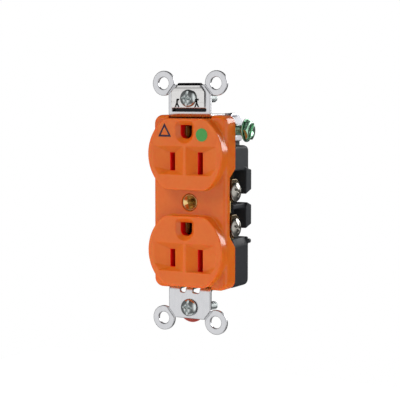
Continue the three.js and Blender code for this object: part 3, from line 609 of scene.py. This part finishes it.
def body_shape(x, y, z):
    body = merge(
        block(x, y, z, -16, 16, -35, 22.95), block(x, y, z, -16, 12, 0, 34.9), 0.4)
    core = rect(x, z, -BAY_WALL_X, BAY_WALL_X, BAY_BOTTOM - WALL, BAY_TOP + WALL)
    body = merge(body, bar(core, y, LEDGE_Y + 0.3, 10, 0.2))
    step = bar(rect(x, z, 11, 16, 22, 24.1, 0.5), y, BODY_FRONT, 9.8, 0.3)
    body = merge(body, step, 0.3)

    # Terminal bays, and beside them two tongues, a rib, a nub and a slanted corner
    side = np.abs(x)
    bay = np.maximum(BAY_WALL_X - side, slab(z, BAY_BOTTOM, BAY_TOP))
    body = cut(body, bay, 0.4)
    upper = polygon(y, z, [
        (BAY_BACK, 2.8), (TONGUE_REAR, 4.5), (TONGUE_REAR, BAY_TOP), (BAY_BACK, BAY_TOP + 1)])
    lower = polygon(y, z, [
        (BAY_BACK, -11.2), (TONGUE_REAR, -9.75), (TONGUE_REAR, -1.8), (BAY_BACK + 1.2, -0.6),
        (BAY_BACK, -2.6)])
    rib = polygon(y, z, [
        (BODY_FRONT, -2.9), (BAY_BACK + 1, -2.9), (BAY_BACK + 1, -0.9), (BODY_FRONT, -0.9)])
    reach = slab(side, CHANNEL_X, 16.6)
    for tongue in (upper, lower):
        body = merge(body, meet(tongue, reach, 0.3), 0.4)
    body = merge(body, meet(rib, slab(side, 9.9, 15.6), 0.4), 0.4)
    nub = rect(y, z, 20, TONGUE_REAR, -17.6, -15.8, 0.6)
    body = merge(body, meet(nub, slab(side, 14, 16.6), 0.5), 0.3)
    facet = ((side - 15.0) * 2.7 + (z - BAY_BOTTOM)) / 2.88
    zone = np.maximum(BAY_BOTTOM - 3 - z, np.maximum(z - BAY_BOTTOM, y - BAY_BACK - 2))
    body = cut(body, np.maximum(-facet, zone), 0.3)

    wide = 14.4
    hollow = rooms(x, y, z, (
        (-9.2, 9.2, -HOLLOW_Z, HOLLOW_Z),
        (-wide, 10.4, BAY_TOP + WALL, HOLLOW_Z),
        (-wide, wide, BAY_TOP + WALL, 21.35),
        (-wide, wide, -HOLLOW_Z, BAY_BOTTOM - WALL),
    ), -5, BODY_REAR - WALL)
    body = cut(body, hollow, 0.15)
    body = cut(body, meet(side - CHANNEL_X, CHANNEL_Z - np.abs(z)), 0.3)
    body = cut(body, np.maximum(10.2 - x, 34.1 - z), 0.3)

    # Bosses and holes of the bushing and the corner screws
    body = merge(body, bar(disc(x, z, 0, 0, 4.3), y, 6, BODY_REAR - 1, 0.2), 0.3)
    body = cut(body, disc(x, z, 0, 0, BUSHING_HOLE), 0.15)
    for sx, sz in CORNER_SCREWS:
        boss = bar(disc(x, z, sx, sz, BOSS_RADIUS), y, BODY_FRONT, BODY_REAR - 1, 0.2)
        body = merge(body, boss, 0.3)
        body = cut(body, disc(x, z, sx, sz, BOSS_HOLE), 0.1)
        body = cut(body, np.maximum(disc(x, z, sx, sz, 3.1), 17.5 - y), 0.25)

    # Room for the terminal plates, the screws' shanks and the ground bracket's arm
    slot = np.maximum(slab(side, 10.7, 12.3), np.maximum(slab(z, -30.2, 20), y - 15.8))
    body = cut(body, slot, 0.1)
    for clamp_z in CLAMP_Z:
        shank = np.maximum(disc(y, z, CLAMP_Y, clamp_z, 2.95), slab(side, 5, 11.7))
        body = cut(body, shank, 0.1)
    body = cut(body, np.maximum(disc(y, z, *GROUND_SCREW, 3), slab(x, 9, 13)), 0.1)
    arm = np.maximum(slab(x, 9, 13), rect(y, z, 17.7, 19.5, 25.2, 32.2))
    return cut(body, arm, 0.1)


# ---------------------------------------------------------------- strap and clip

def strap_centre(y, z):
    """Distance from the strap's middle surface, seen from the side."""
    zz = np.abs(z)
    front, leg, back = STRAP_HALF, 34 + STRAP_HALF, 21.6 + STRAP_HALF
    bend = 1.35
    tab = np.where(zz > leg + bend, np.abs(y - front), np.inf)
    leg_run = np.where((y > front + bend) & (y < back - bend), np.abs(zz - leg), np.inf)
    back_run = np.where(zz < leg - bend, np.abs(y - back), np.inf)
    arc = np.abs(np.hypot(y - front - bend, zz - leg - bend) - bend)
    front_bend = np.where((zz <= leg + bend) & (y <= front + bend), arc, np.inf)
    arc = np.abs(np.hypot(y - back + bend, zz - leg + bend) - bend)
    rear_bend = np.where((zz >= leg - bend) & (y >= back - bend), arc, np.inf)
    return reduce(np.minimum, [tab, leg_run, back_run, front_bend, rear_bend, 6.0])


def strap_shape(x, y, z):
    """Flat blank with slots, ears and corners cut off, wrapped round the body."""
    side, up = np.abs(x), np.abs(z)
    blank = meet(side - 9.6, up - STRAP_END, 0.3)
    chord = ((side - 6.9) * 3.3 + (up - STRAP_END) * 2.7) / 4.26
    blank = meet(blank, chord, 0.3)
    ear = disc(side, up, EAR_X, EAR_Z, EAR_RADIUS)
    blank = merge(blank, ear, 0.25)
    blank = cut(blank, disc(side, up, EAR_X, EAR_Z, EAR_HOLE))
    for slot_z, half, radius in MOUNT_SLOTS:
        blank = cut(blank, rect(x, z, -half, half, slot_z - radius, slot_z + radius, radius))
    sheet = strap_centre(y, z) - STRAP_HALF
    sheet = np.where(up > 39, np.abs(y - STRAP_HALF) - STRAP_HALF, sheet)
    strap = meet(blank, sheet, 0.22)
    slit = rect(x, z, -8, 7.6, 36.5, 37.7, 0.5)
    strap = cut(strap, np.maximum(slit, y - 2), 0.15)
    for x0, x1 in ((-4.4, -1.8), (1.3, 4.6)):
        relief = rect(x, z, x0, x1, -36.6, -33, 0.9)
        strap = cut(strap, np.maximum(relief, y - 9), 0.15)
    groove = np.hypot(chord, np.minimum(np.abs(y), np.abs(y - 2 * STRAP_HALF))) - 0.34
    strap = cut(strap, np.maximum(np.maximum(groove, 43 - up), ear - 0.1), 0.03)
    return cut(strap, np.maximum(disc(x, z, 0, 0, BUSHING_HOLE), 10 - y), 0.2)


def clip_outline(x, z, bottom):
    (left, right), (top_left, top_right) = CLIP_SIDES, CLIP_TOP_SIDES
    shoulder = 44.2
    return polygon(x, z, [
        (left, bottom), (right, bottom), (right, shoulder), (top_right, CLIP_TOP),
        (top_left, CLIP_TOP), (left, shoulder)])


def clip_shape(x, y, z):
    """Bowed front panel and flat rear panel joined by a fold; two feet are cut free."""
    bow = 0.010 * (z - 42.4) ** 2 + 0.085 * np.maximum(z - 44.6, 0) ** 2
    front = meet(clip_outline(x, z, 37.9), slab(y - bow, -0.95, -0.55), 0.12)
    # This part of the rear panel sits behind the strap's slit, where its painted near-black stands
    # in for the shade seen through the slit
    behind_slit = rect(x, z, -9.3, 0, 36.2, 39.5, 0.5)
    rear = meet(merge(clip_outline(x, z, 36.2), behind_slit), slab(y, 1.6, 2.0), 0.12)
    fold = np.abs(rect(y, z, -0.5, 1.8, 20, 47.6, 1.1)) - 0.2
    fold = meet(fold, slab(x, *CLIP_TOP_SIDES), 0.12)
    clip = merge(merge(front, np.maximum(fold, 46.2 - z), 0.15), rear)
    clip = cut(clip, disc(x, z, 0, MOUNT_Z, 2.1), 0.1)
    for foot in CLIP_FEET:
        stem = rect(x, z, foot - 0.3, foot + 0.3, 39.4, 41.3, 0.25)
        hook = rect(x, z, foot - 0.25, foot + 0.9, 40.9, 41.45, 0.25)
        legs = [
            polygon(x, z, [
                (foot + lean, 37), (foot + lean + 0.6, 37), (foot + 0.3, 39.9),
                (foot - 0.3, 39.9)])
            for lean in (-1.6, 1.0)
        ]
        for line in (stem, hook, *legs):
            clip = cut(clip, np.maximum(line, y - 0.4), 0.04)
    return clip


# ---------------------------------------------------------------- screws and washers

PITCH = 0.79375                    # 32 turns to the inch
HEX_HEIGHT, HEX_LENGTH = 1.75, 7.6


def thread(x, y, z, major, minor, pitch):
    """Helical ridge round the z axis, between two radii."""
    turn = np.arctan2(y, x) / (2 * math.pi)
    phase = (z / pitch - turn) % 1.0
    tooth = np.clip(np.abs(phase - 0.5) * 2.3 - 0.08, 0, 1)
    return (np.hypot(x, y) - minor - (major - minor) * tooth) * 0.72


def cross_recess(x, y, z, top, reach, width, depth):
    """Slot right across a head with a shorter, deeper cross over it."""
    radius = np.hypot(x, y)
    taper = (top - z) * 0.35
    arms = np.minimum(
        rect(x, y, -reach, reach, -width, width) + taper,
        rect(x, y, -width, width, -reach, reach) + taper)
    cross = np.maximum(arms, top - depth * 1.35 - z)
    slot = np.maximum(np.abs(y) - width * 0.9, top - depth - z)
    return np.minimum(np.maximum(cross, radius - reach), slot)


def screw_shape(head_radius, head_height, major, length, pitch):
    """Domed head on a threaded shank along -z, with a combined slot and cross."""
    def shape(x, y, z):
        radius = np.hypot(x, y)
        dome = head_radius * 1.45
        cap = np.hypot(radius, z - head_height + dome) - dome
        head = meet(meet(radius - head_radius, cap, 0.5), -z, 0.15)
        shank = thread(x, y, z, major, major * 0.83, pitch)
        neck = radius - major * 0.9
        shank = np.where(z > -0.8, np.minimum(neck, shank), shank)
        tip = radius * 0.7 - (z + length) * 0.7 - major * 0.5
        shank = meet(meet(shank, tip, 0.1), slab(z, -length, 0.4), 0.15)
        screw = merge(head, shank, 0.12)
        hole = cross_recess(
            x, y, z, head_height, head_radius * 0.56, head_radius * 0.135, head_height * 0.46)
        return cut(screw, hole, 0.08)
    return shape


def hex_screw_shape(x, y, z):
    """Slotted hexagon head, chamfered and dished, on a threaded shank."""
    radius = np.hypot(x, y)
    angles = [math.radians(a) for a in (30, 90, 150)]
    sides = [np.abs(x * math.cos(a) + y * math.sin(a)) - 3.68 for a in angles]
    hexagon = meet(meet(sides[0], sides[1], 0.12), sides[2], 0.12)
    chamfer = ((radius - 3.25) * 0.62 + z - HEX_HEIGHT) / 1.18
    head = meet(meet(hexagon, slab(z, 0, HEX_HEIGHT), 0.1), chamfer, 0.1)
    dish = np.hypot(radius, z - HEX_HEIGHT - 6.5) - 6.75
    head = cut(head, dish, 0.15)
    shank = thread(x, y, z, 2.08, 1.72, PITCH)
    tip = radius * 0.7 - (z + HEX_LENGTH) * 0.7 - 1.1
    shank = meet(meet(shank, tip, 0.1), slab(z, -HEX_LENGTH, 0.4), 0.15)
    slot = np.maximum(np.abs(y) - 0.6, HEX_HEIGHT * 0.45 - z)
    return cut(merge(head, shank, 0.15), slot, 0.1)


def washer_shape(outer, hole, thickness, edge):
    """Flat ring on the plane z = 0, given by its radii."""
    def shape(x, y, z):
        radius = np.hypot(x, y)
        ring = np.abs(radius - (outer + hole) / 2) - (outer - hole) / 2
        return meet(ring, slab(z, 0, thickness), edge)
    return shape


def bushing_shape(x, y, z):
    """Riveted tube, threaded inside, with a countersunk front and a domed rear end."""
    radius = np.hypot(x, z)
    front_y, rear_y, dome = 0.3, 23.9, 12
    tube = meet(radius - 2.7, slab(y, 0.4, 23.8), 0.1)
    front = meet(radius - 3.3, slab(y, front_y, 1.6), 0.3)
    cap = np.hypot(radius, y - rear_y + dome) - dome
    rear = meet(meet(radius - 4.2, cap, 0.2), 23.2 - y, 0.15)
    body = merge(merge(tube, front, 0.2), rear, 0.2)
    bore = thread(x, z, y, 1.75, 1.45, PITCH) / 0.72
    cone = (radius - 3.0 + (y - front_y) * 0.85) * 0.76
    return cut(body, np.minimum(bore, cone), 0.08)


# ---------------------------------------------------------------- stamped conductors

def terminal_shape(side):
    """Plate behind two clamp screws, with the break-off fin between them."""
    def shape(x, y, z):
        s = side * x
        face = polygon(y, z, [
            (4.5, -24.8), (15.5, -24.8), (15.5, -5.2), (7.8, -5.2), (7.8, 0.4), (15.5, 0.4),
            (15.5, 18.7), (4.5, 18.7)])
        plate = bar(face, s, 11, 12, 0.2)
        fin_z = (-4.1, 1.2)
        fin = meet(rect(s, z, 11.0, 16.6, *fin_z, 0.5), slab(y, 3.7, 4.5), 0.18)
        root = meet(rect(y, z, 3.7, 5.5, *fin_z, 0.2), slab(s, 11, 12), 0.18)
        plate = merge(merge(plate, root, 0.2), fin, 0.3)
        for clamp_z in CLAMP_Z:
            plate = cut(plate, disc(y, z, CLAMP_Y, clamp_z, 2.75), 0.15)
        return plate
    return shape


def clamp_shape(side):
    """Pressure plate about its screw's axis, z outwards, ribbed where it grips."""
    def shape(x, y, z):
        up = -side * x
        face = meet(meet(slab(up, -4.2, 5.2), y - 3.75, 3.2), -2.55 - y, 0.6)
        plate = bar(face, z, 0, 0.9, 0.2)
        teeth = 0.12 * np.abs(((y / 0.9) % 1.0) - 0.5) * 2
        plate = np.maximum(plate, (teeth - z) * 0.9)
        return cut(plate, np.hypot(x, y) - 2.75, 0.12)
    return shape


def ground_strap_shape(x, y, z):
    """Flat spine behind the ground contacts, its arm, and the ground screw's bracket."""
    front, rear, top = 18, 19.2, 35.7
    spine = bar(rect(x, z, -3.2, 3.2, -14.2, 32, 0.6), y, front, rear, 0.2)
    spine = merge(spine, bar(disc(x, z, 0, 0, 7.6), y, front, rear, 0.2), 0.2)
    arm = bar(rect(x, z, 0, 13.6, 25.5, 31.9, 0.3), y, front, rear, 0.2)
    corner = meet(y - rear, z - top, 4.5)
    bracket = meet(rect(y, z, 8.6, rear, 24.4, top, 1.9), corner)
    bracket = meet(bracket, slab(x, 12.9, 14.1), 0.2)
    ledge = bar(rect(x, y, 10.5, 13.9, 10, 14.2, 0.5), z, 34.5, top, 0.25)
    strap = merge(merge(merge(spine, arm, 0.3), bracket, 0.5), ledge, 0.5)
    strap = cut(strap, disc(x, z, 0, 0, 4.8), 0.15)
    bore = np.maximum(disc(y, z, *GROUND_SCREW, 2.4), 12 - x)
    return cut(strap, bore, 0.15)


# ---------------------------------------------------------------- printed marks

MARK_REAR = FACE_Y + 0.14          # the marks reach a little into the cover


def triangle_mark_shape(x, y, z):
    """Open triangle: the general sign for an isolated ground."""
    outer = polygon(x, z, [(-11.95, 26.4), (-6.0, 26.4), (-9.1, 31.8)])
    half_line = 0.34
    return bar(np.abs(outer + half_line) - half_line, y, FACE_Y, MARK_REAR, 0.02)


def dot_mark_shape(x, y, z):
    return bar(disc(x, z, 7.86, 27.3, 2.6), y, FACE_Y, MARK_REAR, 0.02)


# ---------------------------------------------------------------- contacts

def blade_contact_shape(x, y, z):
    """Two sprung jaws on a tail towards the terminal plate, about a slot's middle."""
    jaws = polygon(x, y, [
        (-1.9, 2.6), (-1.3, 2.6), (-0.65, 4.4), (-0.65, 9), (-1.2, 12), (-1.2, 14.2),
        (1.2, 14.2), (1.2, 12), (0.65, 9), (0.65, 4.4), (1.3, 2.6), (1.9, 2.6),
        (1.35, 4.6), (1.35, 9), (1.9, 12), (1.9, 15), (-1.9, 15), (-1.9, 12),
        (-1.35, 9), (-1.35, 4.6)])
    tail = polygon(x, y, [
        (1.5, 14.2), (3.55, 14.2), (3.55, 8.4), (4.35, 8.4), (4.35, 15), (1.5, 15)])
    return merge(meet(jaws, slab(z, -4, 4), 0.15), meet(tail, slab(z, -1.6, 1.6), 0.15), 0.15)


def pin_contact_shape(x, y, z):
    """Sprung jaws round the ground pin, seated on the ground spine."""
    jaws = polygon(x, y, [
        (-3.5, 2.8), (-2.8, 2.8), (-1.8, 5.4), (-1.8, 9), (-2.6, 12.5), (-2.6, 16.9),
        (2.6, 16.9), (2.6, 12.5), (1.8, 9), (1.8, 5.4), (2.8, 2.8), (3.5, 2.8),
        (2.6, 5.6), (2.6, 9), (3.4, 12.5), (3.4, 17.7), (-3.4, 17.7), (-3.4, 12.5),
        (-2.6, 9), (-2.6, 5.6)])
    return meet(jaws, slab(z, -2.6, 2.6), 0.15)


# ---------------------------------------------------------------- assembly

COARSE = 1.0


def at(x, y, z):
    return Matrix.Translation(Vector((x, y, z)) * MM)


def turned(axis, quarter_turns, spin=0.0):
    """Local z swung to another direction, after a spin about itself in degrees."""
    swing = Matrix.Rotation(quarter_turns * math.pi / 2, 4, axis)
    return swing @ Matrix.Rotation(math.radians(spin), 4, "Z")


SIDEWAYS = {1: ("Y", 1), -1: ("Y", -1)}
FORWARD, REARWARD = ("X", 1), ("X", -1)

cover_mesh = moulded(
    "cover", cover_shape, (-17, FACE_Y, -35.1), (17, SKIRT_Y, 35.1),
    step=0.2 * COARSE, keep=0.22)
add_piece("face_cover_moulding", cover_mesh, ROOT, ORANGE, ["face_cover"])

body_mesh = moulded(
    "body", body_shape, (-16.7, LEDGE_Y, -35.1), (16.7, 22.6, 35.1),
    step=0.22 * COARSE, keep=0.22)
add_piece("rear_body_moulding", body_mesh, ROOT, DARK, ["rear_body"])

strap_mesh = moulded(
    "strap", strap_shape, (-17.1, 0, -52.8), (17.1, 23, 52.8), step=0.21 * COARSE, keep=0.25)
add_piece("mounting_strap_strip", strap_mesh, ROOT, STRIP, ["mounting_strap"])

clip_mesh = moulded(
    "clip", clip_shape, (-8.1, -0.7, 36), (7.3, 2.1, 47.9), step=0.1 * COARSE, keep=0.3)
add_piece("grounding_clip_spring", clip_mesh, ROOT, SPRING, ["grounding_clip"])

bushing_mesh = moulded(
    "bushing", bushing_shape, (-4.3, 0.2, -4.3), (4.3, 24, 4.3), step=0.12 * COARSE, keep=0.4)
add_piece("centre_bushing", bushing_mesh, ROOT, BRASS, ["plate_screw_bushing"])

spine_mesh = moulded(
    "spine", ground_strap_shape, (-7.7, 8.5, -14.3), (14.2, 19.3, 35.8),
    step=0.16 * COARSE, keep=0.3)
add_piece("ground_strap_strip", spine_mesh, ROOT, TINNED, ["ground_strap"])

MARKS = (
    ("triangle", triangle_mark_shape, PRINT_NAVY, (-12.2, -5.8), (26, 32)),
    ("dot", dot_mark_shape, PRINT_GREEN, (5.1, 10.6), (24.5, 30)),
)
for name, shape, ink, (left, right), (bottom, top) in MARKS:
    mark_mesh = moulded(
        name, shape, (left, FACE_Y, bottom), (right, FACE_Y + 0.2, top),
        step=0.05 * COARSE, keep=0.4)
    add_piece("printed_" + name, mark_mesh, ROOT, ink)

clamp_screw = screw_shape(head_radius=4.1, head_height=1.9, major=2.41, length=8, pitch=PITCH)
screw_mesh = moulded(
    "clamp_screw", clamp_screw, (-4.2, -4.2, -8.1), (4.2, 4.2, 2.0),
    step=0.1 * COARSE, keep=0.3)
blade_mesh = moulded(
    "blade", blade_contact_shape, (-2, 2.5, -4.1), (4.4, 15.1, 4.1),
    step=0.15 * COARSE, keep=0.3)
pin_mesh = moulded(
    "pin", pin_contact_shape, (-3.6, 2.7, -2.7), (3.6, 17.8, 2.7),
    step=0.15 * COARSE, keep=0.3)

HEAD_SEAT = 1.2                    # from a clamp's inner face to the seat of the screw's head
# Side, plating of the screws and its slot in the record, spin of the two screws
POLES = {
    "hot": (-1, BRASS, "brass", (-35, 70)),
    "neutral": (1, NICKEL, "nickel", (63, 74)),
}
for pole, (side, plating, slot_name, spins) in POLES.items():
    plate_node = pole + "_terminal_plate"
    plate_mesh = moulded(
        "plate", terminal_shape(side), *node_box(plate_node), step=0.15 * COARSE, keep=0.25)
    add_piece(pole + "_terminal_strip", plate_mesh, ROOT, BRASS, [plate_node])
    clamp_mesh = moulded(
        "clamp", clamp_shape(side), (-5.3, -2.7, 0), (5.3, 3.9, 0.9),
        step=0.12 * COARSE, keep=0.35)
    for level, clamp_z, spin in zip(("upper", "lower"), CLAMP_Z, spins):
        clamp_node, screw_node, contact_node = (
            f"{pole}_{kind}_{level}" for kind in ("clamp", "screw", "contact"))
        low, high = node_box(clamp_node)
        inner_x = low[0] if side > 0 else high[0]
        place = at(inner_x, CLAMP_Y, clamp_z) @ turned(*SIDEWAYS[side])
        # The clamp plates take the brass painted dark for the bays' shade
        add_piece(clamp_node + "_plate", clamp_mesh, clamp_node + "_body", SHADED_BRASS,
                  [clamp_node], place)
        head_x = inner_x + side * HEAD_SEAT
        place = at(head_x, CLAMP_Y, clamp_z) @ turned(*SIDEWAYS[side], spin)
        add_piece(screw_node + "_threaded", screw_mesh, screw_node + "_body", plating,
                  [screw_node], place)
        low, high = node_box(contact_node)
        place = at(side * SLOT_X, 0, (low[2] + high[2]) / 2)
        if side < 0:
            mirror = Matrix.Scale(-1, 4, (0, 1, 0))
            place = place @ Matrix.Rotation(math.pi, 4, "Z") @ mirror
        add_piece(contact_node + "_jaws", blade_mesh, ROOT, BRASS, [contact_node], place)

box_screw = screw_shape(head_radius=3.55, head_height=2, major=1.75, length=22.4, pitch=PITCH)
box_screw_mesh = moulded(
    "box_screw", box_screw, (-3.6, -3.6, -22.5), (3.6, 3.6, 2.1),
    step=0.12 * COARSE, keep=0.35)
fibre_mesh = moulded(
    "fibre", washer_shape(outer=6.2, hole=1.8, thickness=0.7, edge=0.15),
    (-6.3, -6.3, 0), (6.3, 6.3, 0.7), step=0.12 * COARSE, keep=0.3)
# Heights of the screw and its washer, seat of the head, spin of its slot and droop of its
# shank in degrees; the lower screw hangs loose in the strap
BOX_SCREWS = {"upper": (MOUNT_Z, MOUNT_Z, -1.0, 82, 0), "lower": (-42.5, -42.6, -0.5, 87, 6)}
for level, (z, washer_z, seat, spin, droop) in BOX_SCREWS.items():
    screw_node, washer_node = "mounting_screw_" + level, "retaining_washer_" + level
    add_piece(screw_node + "_threaded", box_screw_mesh, screw_node + "_body", ZINC,
              [screw_node], at(0, seat, z) @ turned("X", 1 - droop / 90, spin))
    body = washer_node + "_body" if level == "upper" else ROOT
    rear_y = node_box(washer_node)[1][1]
    add_piece(washer_node + "_disc", fibre_mesh, body, FIBRE,
              [washer_node], at(0, rear_y, washer_z) @ turned(*FORWARD))
    low, high = node_box("ground_contact_" + level)
    add_piece("ground_contact_" + level + "_jaws", pin_mesh, ROOT, BRASS,
              ["ground_contact_" + level], at(0, 0, (low[2] + high[2]) / 2))

hex_mesh = moulded(
    "hex", hex_screw_shape, (-4.4, -4.4, -7.7), (4.4, 4.4, 1.8), step=0.1 * COARSE, keep=0.35)
hex_x = node_box("ground_screw")[1][0] - HEX_HEIGHT
add_piece("ground_screw_hex", hex_mesh, "ground_screw_body", GREEN,
          ["ground_screw"], at(hex_x, *GROUND_SCREW) @ turned(*SIDEWAYS[1], -32))
ring_mesh = moulded(
    "ring", washer_shape(outer=4.7, hole=2.4, thickness=0.5, edge=0.12),
    (-4.8, -4.8, 0), (4.8, 4.8, 0.5), step=0.1 * COARSE, keep=0.4)
ring_x = node_box("ground_screw_washer")[0][0]
add_piece("ground_screw_ring", ring_mesh, "ground_washer_body", GREEN,
          ["ground_screw_washer"], at(ring_x, *GROUND_SCREW) @ turned(*SIDEWAYS[1]))

small_screw = screw_shape(head_radius=2.6, head_height=1.8, major=1.4, length=14, pitch=0.9)
small_mesh = moulded(
    "small_screw", small_screw, (-2.7, -2.7, -14.1), (2.7, 2.7, 1.9),
    step=0.11 * COARSE, keep=0.35)
SMALL_SEAT = 17.8                  # how far back the corner screws' heads sit
for i, (x, z) in enumerate(CORNER_SCREWS):
    node = f"assembly_screw_{i + 1}"
    add_piece(node + "_threaded", small_mesh, ROOT, ZINC, [node],
              at(x, SMALL_SEAT, z) @ turned(*REARWARD, 20 + 47 * i))

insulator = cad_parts["ground_insulator"]
insulator.data.materials.clear()
insulator.data.materials.append(NATURAL)


# ---------------------------------------------------------------- floor, light, camera

FLOOR_Z, FLOOR_HALF = -0.13, 0.26
AIM_POINT = (0, 0.005, 0)
WHITE = (1, 1, 1, 1)


def add_floor():
    """Plain pale square, not mirrored in the gloss of the object."""
    mesh = bpy.data.meshes.new("floor")
    corners = [(-1, -1), (1, -1), (1, 1), (-1, 1)]
    mesh.from_pydata(
        [(x * FLOOR_HALF, y * FLOOR_HALF, FLOOR_Z) for x, y in corners], [], [(0, 1, 2, 3)])
    floor = bpy.data.objects.new("floor", mesh)
    bpy.context.scene.collection.objects.link(floor)
    surface = Surface("floor_paper", (0.95, 0.95, 0.95), (0.9, 0.9))
    surface.done()
    surface.shader.inputs["Emission Color"].default_value = WHITE
    surface.shader.inputs["Emission Strength"].default_value = 0.8
    mesh.materials.append(surface.material)
    floor.visible_glossy = False


def add_light(name, position, size, power, mirrored=True):
    """Rectangular lamp aimed at the middle of the object, in metres and watts."""
    data = bpy.data.lights.new(name, "AREA")
    data.shape = "RECTANGLE"
    data.size, data.size_y = size
    data.energy = power
    lamp = bpy.data.objects.new(name, data)
    lamp.location = position
    lamp.visible_glossy = mirrored
    aim = Vector(AIM_POINT) - lamp.location
    lamp.rotation_euler = aim.to_track_quat("-Z", "Y").to_euler()
    bpy.context.scene.collection.objects.link(lamp)


# Patches of the room's walls that light and gloss come from: direction, cosine of the
# angle to it where the patch starts and where it is full, and added brightness
ROOM_BASE = 0.15
ROOM_PATCHES = (
    ((-0.48, -0.87, -0.14), 0.74, 0.94, 0.74),
    ((1.0, -0.28, 0.15), 0.55, 0.95, 0.95),
    ((0.0, -0.2, -1.0), 0.84, 0.95, 0.60),
    ((0.48, 0.87, -0.12), 0.80, 0.95, -0.11),
    ((0.0, 0.1, 1.0), 0.50, 0.90, -0.12),
)


def light_world():
    """A dim room with brighter patches; the backdrop itself is white."""
    world = bpy.data.worlds.new("studio")
    world.use_nodes = True
    tree = world.node_tree
    background = tree.nodes["Background"]
    background.inputs["Strength"].default_value = 1.0
    direction = tree.nodes.new("ShaderNodeTexCoord").outputs["Generated"]
    total = None
    for toward, start, full, brightness in ROOM_PATCHES:
        cosine = tree.nodes.new("ShaderNodeVectorMath")
        cosine.operation = "DOT_PRODUCT"
        cosine.inputs[1].default_value = Vector(toward).normalized()
        tree.links.new(direction, cosine.inputs[0])
        fade = tree.nodes.new("ShaderNodeMapRange")
        fade.interpolation_type = "SMOOTHSTEP"
        fade.inputs["From Min"].default_value = start
        fade.inputs["From Max"].default_value = full
        fade.inputs["To Max"].default_value = brightness
        tree.links.new(cosine.outputs["Value"], fade.inputs["Value"])
        added = tree.nodes.new("ShaderNodeMath")
        added.inputs[0].default_value = ROOM_BASE
        if total is not None:
            tree.links.new(total, added.inputs[0])
        tree.links.new(fade.outputs["Result"], added.inputs[1])
        total = added.outputs["Value"]
    seen = tree.nodes.new("ShaderNodeLightPath")
    mix = tree.nodes.new("ShaderNodeMix")
    mix.data_type = "RGBA"
    tree.links.new(seen.outputs["Is Camera Ray"], mix.inputs["Factor"])
    tree.links.new(total, mix.inputs["A"])
    mix.inputs["B"].default_value = WHITE
    tree.links.new(mix.outputs["Result"], background.inputs["Color"])
    bpy.context.scene.world = world


add_floor()
light_world()
add_light("key", (-0.50, -0.55, 0.78), size=(0.5, 0.5), power=7.6, mirrored=False)
add_light("rear_softbox", (0.50, 1.05, 0.35), size=(0.8, 0.56), power=7.0)
bpy.context.scene.view_settings.view_transform = "Standard"

AZIMUTH, ELEVATION = math.radians(28.89), math.radians(4.76)
DISTANCE = 0.5111
TARGET = Vector((2.12, 5.0, 0.72)) * MM
back = Vector((
    math.sin(AZIMUTH) * math.cos(ELEVATION),
    -math.cos(AZIMUTH) * math.cos(ELEVATION),
    math.sin(ELEVATION),
))
lens = bpy.data.cameras.new("camera")
lens.sensor_width = 36
lens.lens = 113.9
lens.clip_start = 0.01
camera = bpy.data.objects.new("camera", lens)
camera.location = TARGET + DISTANCE * back
camera.rotation_euler = (-back).to_track_quat("-Z", "Y").to_euler()
bpy.context.scene.collection.objects.link(camera)
bpy.context.scene.camera = camera
